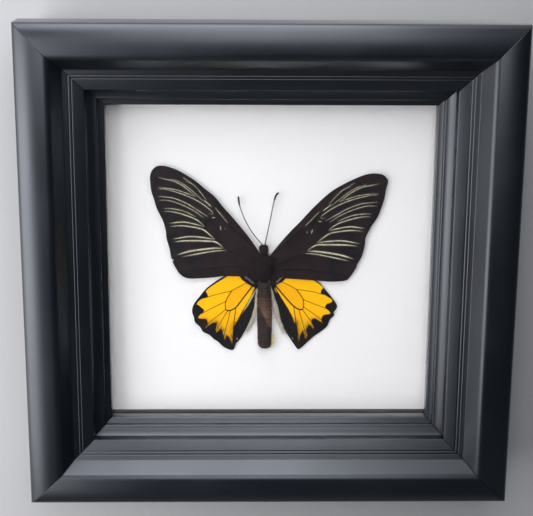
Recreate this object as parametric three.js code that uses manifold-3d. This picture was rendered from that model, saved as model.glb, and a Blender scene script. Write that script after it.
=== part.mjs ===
// Framed butterfly: a spread birdwing in a deep, stepped, black wooden frame.
// Millimetres, +Z up. The front of the frame faces -Y and its back faces the wall at +Y.
// The origin is the middle of the whole block, from the frame's crown to the wall bumpers.
import * as THREE from 'three';
import { mergeVertices } from 'three/addons/utils/BufferGeometryUtils.js';
import Module from 'manifold-3d';

const wasm = await Module();
wasm.setup();

// ---- driving dimensions -------------------------------------------------------------
const SIGHT = 190.5;            // clear opening of the frame
const MOULDING = 45.75;         // width of the moulding, seen from the front
const HALF = SIGHT / 2 + MOULDING;
const GAP = 0.3;                // clearance between pieces that touch
const LIP_FRONT = 24;           // depth of the lip's front face, from the frame's back plane
const LIP_BACK = 17.5;          // depth of the rabbet's floor, where the glass lands
const RABBET = 6.45;            // width of the lip over the glass
const CROWN = 46.5;             // highest point of the moulding
const SIDE_FOOT = 20;           // where the plain outer side ends and steps back
const BACK_STEP = 4;            // how far the back of the moulding is set in
const GLASS = 2;                // thickness of the pane
const BOARD_FRONT = 10.2;       // depth of the white face that carries the wings
const BOARD = 4;                // thickness of the mount board
const PANEL = 2.5;              // thickness of the hardboard back
const SPACER_WIDTHS = { top: 5.8, bottom: 7.1, left: 5.8, right: 5.8 };
const BUMPER = 3;               // height of the rubber bumpers behind the frame
const POCKET = 2.4;             // depth of the trough that takes the insect's body
const BODY_X = -3.2;            // the insect sits a little left of the middle
const FOREWING_DEPTH = 12.2;
const HINDWING_DEPTH = 11.1;
const WING = 0.4;               // thickness of a wing plate
const CURVE_STEPS = 8;          // steps in each quarter round of the moulding

// ---- materials ------------------------------------------------------------------------
const finish = (color, roughness, metalness = 0, extra = {}) =>
  new THREE.MeshStandardMaterial({ color, roughness, metalness, ...extra });
const PAINT = finish(0x24262b, 0.42);
const CLEAR = finish(0xf4f8f8, 0.04, 0, { transparent: true, opacity: 0.25 });
const SPACER = finish(0x1a1b1d, 0.8);
const CARD = finish(0xe9e9ea, 0.9);
const HARDBOARD = finish(0x6b4a30, 0.85);
const STEEL = finish(0x9a9da1, 0.35, 1);
const BRASS = finish(0xb08a4a, 0.35, 1);
const RUBBER = finish(0x1c1c1c, 0.9);
const GLUE = finish(0xe8e2cf, 0.7);
const DARK_WING = finish(0x241b17, 0.65);
const GOLD_WING = finish(0xf2b800, 0.6);
const BODY = finish(0x3a281e, 0.9);
const ANTENNA = finish(0x1d1613, 0.6);

// ---- solids: joining and cutting closed meshes -------------------------------------------
function toSolid(geometry) {
  const bare = geometry.clone();
  for (const name of Object.keys(bare.attributes)) {
    if (name !== 'position') bare.deleteAttribute(name);
  }
  const merged = mergeVertices(bare, 1e-4);
  return new wasm.Manifold(new wasm.Mesh({
    numProp: 3,
    vertProperties: new Float32Array(merged.attributes.position.array),
    triVerts: new Uint32Array(merged.index.array),
  }));
}

function toGeometry(solid) {
  const mesh = solid.getMesh();
  const geometry = new THREE.BufferGeometry();
  geometry.setAttribute('position', new THREE.BufferAttribute(new Float32Array(mesh.vertProperties), 3));
  geometry.setIndex(new THREE.BufferAttribute(new Uint32Array(mesh.triVerts), 1));
  return geometry;
}

function cut(geometry, tools) {
  return toGeometry(tools.reduce((solid, tool) => solid.subtract(toSolid(tool)), toSolid(geometry)));
}

function join(geometries) {
  return toGeometry(geometries.map(toSolid).reduce((solid, other) => solid.add(other)));
}

// Everything is laid out by depth: the distance forward of the frame's back plane.
const content = new THREE.Group();
content.position.y = (CROWN - BUMPER) / 2;
function place(name, geometry, material) {
  geometry.computeVertexNormals();
  const mesh = new THREE.Mesh(geometry, material);
  mesh.name = name;
  content.add(mesh);
  return mesh;
}

// A flat plate with the given outline in X and Z, filling the depths from back to front.
function plate(shape, back, front, curveSegments = 6) {
  const geometry = new THREE.ExtrudeGeometry(shape, {
    depth: front - back, bevelEnabled: false, curveSegments,
  });
  return geometry.rotateX(Math.PI / 2).translate(0, -back, 0);
}

function block(width, back, front, height, x = 0, z = 0) {
  return new THREE.BoxGeometry(width, front - back, height).translate(x, -(back + front) / 2, z);
}

// ---- the moulding ---------------------------------------------------------------------------
// Profile points are (inset from the outer side, depth), from the back round the outside.
const LIP_INSET = MOULDING;
const CROWN_INSET = 15.5;
const SHOULDER = 40.6;          // where the outer side turns into the cushion
const CUSHION_FOOT = { inset: 24.8, depth: 38.5 };
const CROWN_RADIUS = 6.5;       // of the arc from the crown to the straight inner slope
const SLOPE_ANGLE = 0.93;       // of the inner slope, 53 degrees
const BEAD_RADIUS = 0.8;
const NOSE_RADIUS = 1.1;

function arc(centre, radiusInset, radiusDepth, from, to, steps = CURVE_STEPS) {
  const points = [];
  for (let i = 0; i <= steps; i += 1) {
    const angle = from + ((to - from) * i) / steps;
    points.push([centre[0] + radiusInset * Math.cos(angle), centre[1] + radiusDepth * Math.sin(angle)]);
  }
  return points;
}

// Half a bead: a small round reed standing on the slope between cushion and cove.
function bead(inset, depth) {
  return arc([inset, depth], BEAD_RADIUS, BEAD_RADIUS, Math.PI, 0, 6);
}

function mouldingProfile() {
  const outerCushion = arc([CROWN_INSET, SHOULDER], CROWN_INSET, CROWN - SHOULDER, Math.PI, Math.PI / 2);
  const innerCushion = [
    ...arc([CROWN_INSET, CROWN - CROWN_RADIUS], CROWN_RADIUS, CROWN_RADIUS,
      Math.PI / 2, Math.PI / 2 - SLOPE_ANGLE, 6).slice(1),
    [CUSHION_FOOT.inset, CUSHION_FOOT.depth],
  ];
  const cove = [[31.2, 37.4], [33.0, 36.7], [34.8, 36.0], [36.3, 35.6], [37.0, 35.4]];
  const slope = [[37.6, 30.6], [37.9, 29.8], [39.6, 28.3], [41.2, 27.7], [42.1, 27.4]];
  const lip = [[42.4, 26.9], [42.7, 25.2], [44.2, 24.4]];
  const nose = arc([LIP_INSET - NOSE_RADIUS, LIP_FRONT - NOSE_RADIUS],
    NOSE_RADIUS, NOSE_RADIUS, Math.PI / 2.6, 0, 4);
  return [
    [BACK_STEP, 0], [BACK_STEP, SIDE_FOOT - BACK_STEP], [0, SIDE_FOOT],
    ...outerCushion, ...innerCushion,
    [25.9, CUSHION_FOOT.depth - 0.5],
    ...bead(27.0, 38.0), ...bead(29.0, 37.4),
    [30.3, 36.9],
    ...cove, ...slope, ...lip, ...nose,
    [LIP_INSET, LIP_BACK], [LIP_INSET - RABBET, LIP_BACK], [LIP_INSET - RABBET, 0],
  ];
}

// One rail as it comes off the mitre saw, drawn as the top rail: its ends run at 45 degrees.
function mitredRail() {
  const shape = new THREE.Shape(mouldingProfile().map(([inset, depth]) => new THREE.Vector2(inset, depth)));
  const geometry = new THREE.ExtrudeGeometry(shape, { depth: 1, bevelEnabled: false });
  const position = geometry.attributes.position;
  for (let i = 0; i < position.count; i += 1) {
    const inset = position.getX(i);
    const depth = position.getY(i);
    const side = position.getZ(i) > 0.5 ? -1 : 1;
    position.setXYZ(i, side * (HALF - inset - GAP / 2), -depth, HALF - inset);
  }
  return geometry;
}

// Flexible framer's points: steel tabs pressed into slots in the rabbet, over the back panel.
const TAB = { width: 9, length: 15, thickness: 0.8, seat: 7, spread: 48 };
const PANEL_FRONT = BOARD_FRONT - BOARD - GAP;
const TAB_FRONT = PANEL_FRONT - PANEL - GAP;
const RABBET_WALL = HALF - LIP_INSET + RABBET;

function slotCutter(x) {
  return block(
    TAB.width + 2 * GAP, TAB_FRONT - TAB.thickness - GAP, TAB_FRONT + GAP,
    TAB.seat + 1 + GAP, x, RABBET_WALL + (TAB.seat + GAP - 1) / 2,
  );
}

function tabShape() {
  const half = TAB.width / 2;
  const shape = new THREE.Shape();
  shape.moveTo(-half, TAB.seat - 2);
  shape.lineTo(-half, TAB.seat - TAB.length + 3);
  shape.absarc(-half + 3, TAB.seat - TAB.length + 3, 3, Math.PI, 1.5 * Math.PI, false);
  shape.absarc(half - 3, TAB.seat - TAB.length + 3, 3, 1.5 * Math.PI, 2 * Math.PI, false);
  shape.lineTo(half, TAB.seat - 2);
  shape.lineTo(0, TAB.seat);
  return shape;
}

const HANGER = { length: 46, height: 9, thickness: 0.8, rise: 1.5, z: HALF - 19, teeth: 9, pitch: 2.6 };
const NAIL = { x: HANGER.length / 2 - 3.5, radius: 0.6, headRadius: 1.7, head: 0.5, length: 9 };
const BUMPER_PLACE = { x: HALF - 30, z: -(HALF - 20) };

function nailBore(x) {
  const radius = NAIL.radius + GAP;
  const bore = new THREE.CylinderGeometry(radius, radius, NAIL.length + 2, 16);
  return bore.translate(x, -NAIL.length / 2, HANGER.z);
}

const railTurns = { rail_top: 0, rail_right: Math.PI / 2, rail_bottom: Math.PI, rail_left: -Math.PI / 2 };
for (const [name, turn] of Object.entries(railTurns)) {
  const cutters = [-TAB.spread, TAB.spread].map(slotCutter);
  if (name === 'rail_top') cutters.push(nailBore(-NAIL.x), nailBore(NAIL.x));
  place(name, cut(mitredRail(), cutters), PAINT).rotation.y = turn;
}

// ---- glass, spacers, board and back ---------------------------------------------------------
const PACK = 2 * (RABBET_WALL - GAP);      // size of everything that drops into the rabbet
const GLASS_FRONT = LIP_BACK - GAP;
const SPACER_FRONT = GLASS_FRONT - GLASS - GAP;
const SPACER_BACK = BOARD_FRONT + GAP;
place('glass_pane', block(PACK, GLASS_FRONT - GLASS, GLASS_FRONT, PACK), CLEAR);

// The top and bottom strips run right across, and the side strips stand between them.
for (const [where, side] of [['top', 1], ['bottom', -1]]) {
  const width = SPACER_WIDTHS[where];
  const z = side * (PACK - width) / 2;
  place(`spacer_${where}`, block(PACK, SPACER_BACK, SPACER_FRONT, width, 0, z), SPACER);
}
const sideSpacer = {
  length: PACK - SPACER_WIDTHS.top - SPACER_WIDTHS.bottom - 2 * GAP,
  z: (SPACER_WIDTHS.bottom - SPACER_WIDTHS.top) / 2,
};
for (const [where, side] of [['left', -1], ['right', 1]]) {
  const width = SPACER_WIDTHS[where];
  const x = side * (PACK - width) / 2;
  const strip = block(width, SPACER_BACK, SPACER_FRONT, sideSpacer.length, x, sideSpacer.z);
  place(`spacer_${where}`, strip, SPACER);
}

// The board has a shallow trough, so that the body lies low and the wings stay flat.
// Its round ends lie under the thorax and under the tip of the abdomen.
const TROUGH = { top: { x: BODY_X, z: 0.5, radius: 4.6 }, bottom: { x: -2.3, z: -49.3, radius: 3.9 } };
function trough() {
  const { top, bottom } = TROUGH;
  const shape = new THREE.Shape();
  shape.absarc(top.x, top.z, top.radius, 0, Math.PI, false);
  shape.absarc(bottom.x, bottom.z, bottom.radius, Math.PI, 2 * Math.PI, false);
  return plate(shape, BOARD_FRONT - POCKET, BOARD_FRONT + 1);
}
place('mount_board', cut(block(PACK, BOARD_FRONT - BOARD, BOARD_FRONT, PACK), [trough()]), CARD);
place('back_panel', block(PACK, PANEL_FRONT - PANEL, PANEL_FRONT, PACK), HARDBOARD);

let tabNumber = 0;
for (const turn of Object.values(railTurns)) {
  for (const x of [-TAB.spread, TAB.spread]) {
    tabNumber += 1;
    const tab = plate(tabShape(), TAB_FRONT - TAB.thickness, TAB_FRONT).translate(x, 0, RABBET_WALL);
    place(`framer_point_${tabNumber}`, tab, STEEL).rotation.y = turn;
  }
}

// ---- hanging hardware -------------------------------------------------------------------------
// A sawtooth hanger: a strip whose middle stands off the wood, with notches along its lower edge.
function sawtoothHanger() {
  const { length, height, thickness, rise, teeth, pitch } = HANGER;
  const foot = 7;
  const ramp = 2;
  const back = GAP;
  const bends = [[-length / 2, 0], [-length / 2 + foot, 0], [-length / 2 + foot + ramp, rise],
    [length / 2 - foot - ramp, rise], [length / 2 - foot, 0], [length / 2, 0]];
  const under = bends.map(([x, y]) => new THREE.Vector2(x, back + y));
  const over = bends.map(([x, y]) => new THREE.Vector2(x, back + y + thickness)).reverse();
  const strip = new THREE.ExtrudeGeometry(new THREE.Shape([...under, ...over]), {
    depth: height, bevelEnabled: false,
  }).translate(0, 0, HANGER.z - height / 2);
  const cutters = [];
  for (let i = 0; i < teeth; i += 1) {
    const x = (i - (teeth - 1) / 2) * pitch;
    const notch = new THREE.Shape([
      new THREE.Vector2(x - pitch / 2 + 0.1, -1), new THREE.Vector2(x + pitch / 2 - 0.1, -1),
      new THREE.Vector2(x, 2.1),
    ]);
    cutters.push(plate(notch, -back - rise - thickness - 1, 0).translate(0, 0, HANGER.z - height / 2));
  }
  for (const side of [-1, 1]) {
    const radius = NAIL.radius + GAP;
    cutters.push(new THREE.CylinderGeometry(radius, radius, 6, 16).translate(side * NAIL.x, 0, HANGER.z));
  }
  return cut(strip, cutters);
}
place('sawtooth_hanger', sawtoothHanger(), BRASS);

// A round piece whose axis runs front to back, from (radius, distance behind the frame) points.
function turned(profile, segments = 16) {
  return new THREE.LatheGeometry(profile.map(([r, y]) => new THREE.Vector2(r, y)), segments);
}

const headSeat = 2 * GAP + HANGER.thickness;
for (const [name, side] of [['hanger_nail_left', 1], ['hanger_nail_right', -1]]) {
  const nail = turned([
    [0, headSeat - NAIL.length], [NAIL.radius, headSeat - NAIL.length + 1.5], [NAIL.radius, headSeat],
    [NAIL.headRadius, headSeat], [NAIL.headRadius, headSeat + NAIL.head / 2],
    [NAIL.headRadius * 0.7, headSeat + NAIL.head], [0, headSeat + NAIL.head],
  ]);
  place(name, nail.translate(side * NAIL.x, 0, HANGER.z), BRASS);
}
for (const [name, side] of [['bumper_left', 1], ['bumper_right', -1]]) {
  const bumper = turned([[0, GAP], [5.2, GAP], [5.2, 1.8], [4.6, 2.6], [3.6, BUMPER], [0, BUMPER]], 24);
  place(name, bumper.translate(side * BUMPER_PLACE.x, 0, BUMPER_PLACE.z), RUBBER);
}

// ---- the butterfly ------------------------------------------------------------------------------
// Wing outlines are drawn for the left wing about its own root: out is -X, up is +Z.
const FOREWING = [
  [-0.5, 3.2], [-5.6, 10.4], [-11.2, 17.7], [-21.8, 30.1], [-31.9, 40.4], [-44.8, 49.9],
  [-55.2, 54.0], [-59.9, 53.9], [-63.3, 50.2], [-63.9, 45.0], [-61.7, 34.1], [-58.4, 24.9],
  [-55.2, 15.5], [-53.1, 4.5], [-51.4, -3.0], [-46.9, -11.3], [-42.4, -13.7], [-35.3, -13.7],
  [-21.1, -12.4], [-10.6, -12.0], [-1.5, -8.5],
];
const HINDWING = [
  [-1.0, 2.0], [-8.0, 5.5], [-18.2, 2.3], [-28.7, -5.4], [-36.0, -14.9], [-37.2, -19.4],
  [-35.5, -26.3], [-30.6, -32.4], [-24.2, -37.0], [-18.3, -42.0], [-13.9, -43.9], [-11.5, -42.0],
  [-8.8, -37.4], [-2.3, -24.7], [0.4, -18.0], [0.8, -8.0],
];
// Where each wing is set: root place, how far it is turned down, and its size.
const WING_SETS = {
  forewing_left: { outline: FOREWING, side: -1, root: [-6.0, 3.0], droop: 0, size: 1 },
  forewing_right: { outline: FOREWING, side: 1, root: [1.4, 3.6], droop: 0.071, size: 0.994 },
  hindwing_left: { outline: HINDWING, side: -1, root: [-9.0, -12.0], droop: 0, size: 1 },
  hindwing_right: { outline: HINDWING, side: 1, root: [2.9, -11.3], droop: -0.0214, size: 0.985 },
};

function wingPlate({ outline, side, root, droop, size }, depth) {
  const spline = new THREE.CatmullRomCurve3(
    outline.map(([x, z]) => new THREE.Vector3(x, z, 0)), true, 'centripetal',
  );
  const points = spline.getPoints(outline.length * 4).slice(0, -1).map(({ x, y }) => {
    const out = -x * side;
    return new THREE.Vector2(
      root[0] + size * (out * Math.cos(droop) + side * y * Math.sin(droop)),
      root[1] + size * (y * Math.cos(droop) - side * out * Math.sin(droop)),
    );
  });
  return plate(new THREE.Shape(points), depth - WING / 2, depth + WING / 2);
}

function ellipsoid(x, z, depth, halfX, halfZ, halfDepth, grow = 0) {
  return new THREE.SphereGeometry(1, 20, 12)
    .scale(halfX + grow, halfDepth + grow, halfZ + grow).translate(x, -depth, z);
}

const BODY_DEPTH = 11.9;
const THORAX = { x: BODY_X, z: -3.5, halfX: 5.0, halfZ: 8.7, halfDepth: 2.95 };
const HEAD = { x: BODY_X - 0.5, z: 8.2, depth: 12.8, halfX: 2.6, halfZ: 2.4, halfDepth: 1.9 };
const thorax = (grow = 0) => ellipsoid(
  THORAX.x, THORAX.z, BODY_DEPTH, THORAX.halfX, THORAX.halfZ, THORAX.halfDepth, grow);

// The abdomen tapers a little to a blunt tip and leans slightly to the right.
const ABDOMEN = { root: [BODY_X, -12.5], tip: [-2.1, -54.4], flatten: 0.7 };
function abdomen(grow = 0) {
  const length = ABDOMEN.root[1] - ABDOMEN.tip[1];
  const radii = [[0, 0], [2.6, 0.01], [3.4, 0.06], [4.0, 0.2], [4.1, 0.45], [3.9, 0.7], [3.7, 0.86],
    [2.9, 0.95], [1.6, 0.99], [0, 1]];
  const profile = radii.map(([r, t]) => [r === 0 ? 0 : r + grow, -t * length]).reverse();
  const lean = Math.atan2(ABDOMEN.tip[0] - ABDOMEN.root[0], length);
  return turned(profile, 24)
    .rotateX(Math.PI / 2).scale(1, ABDOMEN.flatten, 1).rotateY(-lean)
    .translate(ABDOMEN.root[0], -BODY_DEPTH, ABDOMEN.root[1]);
}

// Antennae rise from the brow and end in a small club.
const ANTENNAE = {
  antenna_left: [[-4.6, 10.9], [-8.2, 14.6], [-12.0, 20.0], [-15.6, 27.2], [-17.9, 34.0], [-18.7, 39.0]],
  antenna_right: [[-2.9, 10.9], [-1.6, 17.0], [0.2, 26.0], [2.0, 35.6], [3.4, 40.0], [4.7, 41.4]],
};
const STALK_RADIUS = 0.28;
const CLUB = { radius: 0.62, length: 5 };

function antenna(points) {
  const path = new THREE.CatmullRomCurve3(points.map(([x, z]) => new THREE.Vector3(x, -HEAD.depth, z)));
  const section = new THREE.Shape();
  section.absarc(0, 0, STALK_RADIUS, 0, 2 * Math.PI, false);
  const stalk = new THREE.ExtrudeGeometry(section, {
    steps: 14, curveSegments: 4, bevelEnabled: false, extrudePath: path,
  });
  const end = path.getPoint(1);
  const direction = path.getTangent(1);
  const club = new THREE.SphereGeometry(1, 10, 8).scale(CLUB.radius, CLUB.length / 2, CLUB.radius);
  club.applyQuaternion(new THREE.Quaternion().setFromUnitVectors(new THREE.Vector3(0, 1, 0), direction));
  const centre = end.clone().addScaledVector(direction, -CLUB.length / 2 + 0.4);
  return join([stalk, club.translate(centre.x, centre.y, centre.z)]);
}

for (const [name, set] of Object.entries(WING_SETS)) {
  const depth = set.outline === FOREWING ? FOREWING_DEPTH : HINDWING_DEPTH;
  const material = set.outline === FOREWING ? DARK_WING : GOLD_WING;
  place(name, cut(wingPlate(set, depth), [thorax(GAP), abdomen(GAP)]), material);
}
place('head', ellipsoid(HEAD.x, HEAD.z, HEAD.depth, HEAD.halfX, HEAD.halfZ, HEAD.halfDepth), BODY);
place('thorax', thorax(), BODY);
place('abdomen', abdomen(), BODY);
for (const [name, points] of Object.entries(ANTENNAE)) place(name, antenna(points), ANTENNA);

// A thin dab of glue in the trough holds the thorax.
const glueShape = new THREE.Shape();
glueShape.absellipse(BODY_X, THORAX.z, 3, 5, 0, 2 * Math.PI, false, 0);
const troughFloor = BOARD_FRONT - POCKET;
place('glue_dab', cut(plate(glueShape, troughFloor + GAP, troughFloor + 1.2), [thorax(GAP)]), GLUE);

const framedButterfly = new THREE.Group();
framedButterfly.add(content);
export default framedButterfly;
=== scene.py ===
"""A dried birdwing butterfly behind glass in a deep black frame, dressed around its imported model."""

import logging
import math
from collections.abc import Callable, Iterator, Sequence
from contextlib import contextmanager
from dataclasses import dataclass
from enum import Enum

import bpy
import numpy as np
from mathutils import Matrix, Vector
from mathutils.geometry import delaunay_2d_cdt


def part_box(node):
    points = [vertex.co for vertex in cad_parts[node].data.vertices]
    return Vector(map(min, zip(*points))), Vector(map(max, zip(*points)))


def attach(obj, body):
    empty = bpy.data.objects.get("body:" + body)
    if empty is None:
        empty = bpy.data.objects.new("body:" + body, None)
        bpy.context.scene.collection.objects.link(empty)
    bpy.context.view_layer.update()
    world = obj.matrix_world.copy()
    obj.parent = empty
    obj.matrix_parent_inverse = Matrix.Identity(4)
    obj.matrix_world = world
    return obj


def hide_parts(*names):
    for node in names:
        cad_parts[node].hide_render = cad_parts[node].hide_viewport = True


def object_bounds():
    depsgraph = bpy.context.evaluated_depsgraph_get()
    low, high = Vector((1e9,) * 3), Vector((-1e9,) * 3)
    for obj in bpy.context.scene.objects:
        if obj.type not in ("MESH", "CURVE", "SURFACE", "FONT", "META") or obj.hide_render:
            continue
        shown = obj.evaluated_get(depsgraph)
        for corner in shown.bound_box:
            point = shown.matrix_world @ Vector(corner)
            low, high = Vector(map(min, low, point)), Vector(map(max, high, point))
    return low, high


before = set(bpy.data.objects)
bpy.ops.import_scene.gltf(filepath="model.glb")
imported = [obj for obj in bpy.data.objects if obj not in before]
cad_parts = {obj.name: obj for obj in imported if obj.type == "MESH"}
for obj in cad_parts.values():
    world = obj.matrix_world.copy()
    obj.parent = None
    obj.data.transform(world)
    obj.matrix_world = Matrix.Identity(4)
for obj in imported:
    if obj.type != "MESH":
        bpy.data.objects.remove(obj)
CAD_BOX = [list(corner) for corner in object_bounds()]
LOG = logging.getLogger("framed_butterfly")

MM = 0.001
BODY = "root"
BACK_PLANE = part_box("rail_top")[1].y  # the flat back of the moulding
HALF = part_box("rail_top")[1].z / MM  # half the frame's outer size, in millimetres
BODY_X = -3.2  # the insect's own middle line, in millimetres

Point = tuple[float, float]
Colour = tuple[float, float, float, float]
Triple = tuple[float, float, float]
Socket = bpy.types.NodeSocket
Tree = bpy.types.NodeTree
Piece = bpy.types.Object
Material = bpy.types.Material


class Slot(str, Enum):
    """Names of material slots, one for each kind of new piece."""

    PAINT = "black_paint"
    BODY = "hairy_body"
    DARK_WING = "dark_wing"
    GOLD_WING = "gold_wing"
    ANTENNA = "antenna"


# ---- shared helpers ------------------------------------------------------------------------------


def depth(millimetres: float) -> float:
    """Y of a plane that lies this far in front of the frame's back plane."""
    return BACK_PLANE - millimetres * MM


def srgb(red: int, green: int, blue: int) -> Colour:
    """Turns a display colour of 0 to 255 a channel into linear light.

    Args:
        red: Red channel.
        green: Green channel.
        blue: Blue channel.

    Returns:
        The linear colour with full alpha.
    """

    def linear(channel: int) -> float:
        share = channel / 255
        return share / 12.92 if share <= 0.04045 else ((share + 0.055) / 1.055) ** 2.4

    return (linear(red), linear(green), linear(blue), 1.0)


def deselect() -> None:
    """Clears the selection, so that the next operator acts on its own piece only."""
    bpy.ops.object.select_all(action="DESELECT")


def pick(piece: Piece) -> None:
    """Makes one piece the only selected and active one.

    Args:
        piece: The piece that the next operator acts on.
    """
    deselect()
    piece.select_set(True)
    bpy.context.view_layer.objects.active = piece


@contextmanager
def editing(piece: Piece) -> Iterator[None]:
    """Holds a piece in edit mode with all of it selected, and leaves edit mode at the end.

    Args:
        piece: The piece to edit.

    Yields:
        Nothing, while edit mode lasts.
    """
    pick(piece)
    bpy.ops.object.mode_set(mode="EDIT")
    bpy.ops.mesh.select_all(action="SELECT")
    try:
        yield
    finally:
        bpy.ops.object.mode_set(mode="OBJECT")


def apply_modifier(piece: Piece, kind: str, **settings: object) -> None:
    """Adds a modifier, sets it and applies it.

    Args:
        piece: The piece that gets the modifier.
        kind: Blender's name of the modifier type.
        settings: Values for the modifier's own fields.
    """
    pick(piece)
    modifier = piece.modifiers.new(kind.title(), kind)
    for name, value in settings.items():
        setattr(modifier, name, value)
    bpy.ops.object.modifier_apply(modifier=modifier.name)


def apply_bevel(piece: Piece, width: float, segments: int = 2, degrees: float = 30.0) -> None:
    """Rounds every edge sharper than an angle.

    Args:
        piece: The piece.
        width: Bevel width in millimetres.
        segments: Steps across the bevel.
        degrees: Edges that turn by more than this are rounded.
    """
    apply_modifier(
        piece, "BEVEL", width=width * MM, segments=segments,
        limit_method="ANGLE", angle_limit=math.radians(degrees),
    )


def smooth(piece: Piece, degrees: float = 35.0) -> None:
    """Shades a piece smooth, apart from edges sharper than an angle."""
    pick(piece)
    bpy.ops.object.shade_smooth_by_angle(angle=math.radians(degrees))


def settle(
    piece: Piece, name: str, slot: Slot, material: Material, *stands_for: str
) -> Piece:
    """Names and dresses a finished piece and gives it its place in the frame.

    Args:
        piece: The finished piece, with its place in its mesh.
        name: The piece's name.
        slot: The material slot; not used.
        material: The finish.
        stands_for: The CAD nodes that the piece replaces.

    Returns:
        The same piece.
    """
    piece.name = piece.data.name = name
    pick(piece)
    bpy.ops.object.transform_apply(location=True, rotation=True, scale=True)
    piece.data.materials.clear()
    piece.data.materials.append(material)
    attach(piece, BODY)
    if stands_for:
        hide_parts(*stands_for)
    LOG.info("%s: %d faces", name, len(piece.data.polygons))
    return piece


def dress(node: str, material: Material) -> None:
    """Gives a carried-over CAD node its finish.

    Args:
        node: The node's name.
        material: The finish.
    """
    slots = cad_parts[node].data.materials
    slots.clear()
    slots.append(material)
    LOG.info("%s: %s", node, material.name)


def new_piece(name: str, vertices: np.ndarray, faces: Sequence[Sequence[int]]) -> Piece:
    """Makes an object from vertices in metres and faces.

    Args:
        name: The object's name.
        vertices: One row of x, y and z for each vertex.
        faces: The vertex numbers of each face.

    Returns:
        The new object, linked to the scene.
    """
    mesh = bpy.data.meshes.new(name)
    mesh.from_pydata(vertices.tolist(), [], faces)
    piece = bpy.data.objects.new(name, mesh)
    bpy.context.scene.collection.objects.link(piece)
    return piece


def set_attribute(piece: Piece, name: str, values: np.ndarray) -> None:
    """Stores one number, or one vector, at each vertex of a piece.

    Args:
        piece: The piece.
        name: The attribute's name.
        values: One number or one row of three for each vertex.
    """
    kind, field = ("FLOAT", "value") if values.ndim == 1 else ("FLOAT_VECTOR", "vector")
    layer = piece.data.attributes.new(name, kind, "POINT")
    layer.data.foreach_set(field, values.astype(np.float32).ravel())


def places(piece: Piece) -> np.ndarray:
    """Reads where the vertices of a piece are.

    Args:
        piece: The piece.

    Returns:
        Rows of x, y and z in metres.
    """
    flat = np.empty(len(piece.data.vertices) * 3)
    piece.data.vertices.foreach_get("co", flat)
    return flat.reshape(-1, 3)


def move_to(piece: Piece, rows: np.ndarray) -> None:
    """Puts the vertices of a piece at new places."""
    piece.data.vertices.foreach_set("co", rows.ravel())
    piece.data.update()


# ---- flat drawing --------------------------------------------------------------------------------


def spline(points: Sequence[Point], step: float, closed: bool = False) -> np.ndarray:
    """Draws a smooth line through points.

    Args:
        points: The points in millimetres.
        step: Longest distance between the points of the result.
        closed: Whether the line returns to its start.

    Returns:
        Rows of x and z along the line.
    """
    given = np.array(points, float)
    if closed:
        knots = np.vstack([given[-1:], given, given[:2]])
    else:
        knots = np.vstack([2 * given[0] - given[1], given, 2 * given[-1] - given[-2]])
    rows = []
    for a, b, c, d in zip(knots, knots[1:], knots[2:], knots[3:]):
        count = max(1, math.ceil(np.linalg.norm(c - b) / step))
        t = np.arange(count)[:, None] / count
        doubled = 2 * b + (c - a) * t + (2 * a - 5 * b + 4 * c - d) * t**2 + (3 * b - a - 3 * c + d) * t**3
        rows.append(0.5 * doubled)
    if not closed:
        rows.append(given[-1:])
    return np.vstack(rows)


def nearest(places_mm: np.ndarray, line: np.ndarray) -> tuple[np.ndarray, np.ndarray]:
    """Measures how far each place is from a line.

    Args:
        places_mm: Rows of x and z.
        line: The line's points in order.

    Returns:
        The distance of each place, and how far along the line its nearest point lies, from 0 to 1.
    """
    best = np.full(len(places_mm), np.inf)
    along = np.zeros(len(places_mm))
    lengths = np.linalg.norm(np.diff(line, axis=0), axis=1)
    total = max(lengths.sum(), 1e-9)
    walked = 0.0
    for start, end, length in zip(line, line[1:], lengths):
        run = end - start
        t = np.clip(((places_mm - start) @ run) / max(length**2, 1e-12), 0, 1)
        gap = np.hypot(*(places_mm - start - t[:, None] * run).T)
        closer = gap < best
        best[closer] = gap[closer]
        along[closer] = (walked + t[closer] * length) / total
        walked += length
    return best, along


def inside(places_mm: np.ndarray, outline: np.ndarray) -> np.ndarray:
    """Tells which places lie inside a closed outline.

    Args:
        places_mm: Rows of x and z.
        outline: The outline's points in order, without the first one again at the end.

    Returns:
        True for each place inside.
    """
    x, z = places_mm.T
    within = np.zeros(len(places_mm), bool)
    for (x0, z0), (x1, z1) in zip(outline, np.roll(outline, -1, axis=0)):
        if z0 != z1:
            crosses = (z0 > z) != (z1 > z)
            within ^= crosses & (x < x0 + (x1 - x0) * (z - z0) / (z1 - z0))
    return within


def unit(rows: np.ndarray) -> np.ndarray:
    """The rows scaled to a length of 1."""
    return rows / np.linalg.norm(rows, axis=1)[:, None]


def tube_faces(rings: int, sides: int) -> list[tuple[int, ...]]:
    """The four-sided faces that join rings of vertices one after the other.

    Args:
        rings: Number of rings.
        sides: Number of vertices in each ring.

    Returns:
        The faces.
    """
    faces = []
    for ring in range(rings - 1):
        for side in range(sides):
            a, b = ring * sides + side, ring * sides + (side + 1) % sides
            faces.append((a, b, b + sides, a + sides))
    return faces


def soft_step(values: np.ndarray, low: float, high: float) -> np.ndarray:
    """Rises smoothly from 0 at low to 1 at high."""
    t = np.clip((values - low) / (high - low), 0, 1)
    return t * t * (3 - 2 * t)


def arc(centre: Point, radii: Point, start: float, end: float, steps: int) -> list[Point]:
    """Points on a stretch of an ellipse.

    Args:
        centre: Its centre.
        radii: Its two half axes.
        start: First angle in degrees.
        end: Last angle in degrees.
        steps: Number of steps between them.

    Returns:
        The points, both ends among them.
    """
    angles = [math.radians(start + (end - start) * i / steps) for i in range(steps + 1)]
    return [(centre[0] + radii[0] * math.cos(a), centre[1] + radii[1] * math.sin(a)) for a in angles]


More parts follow.
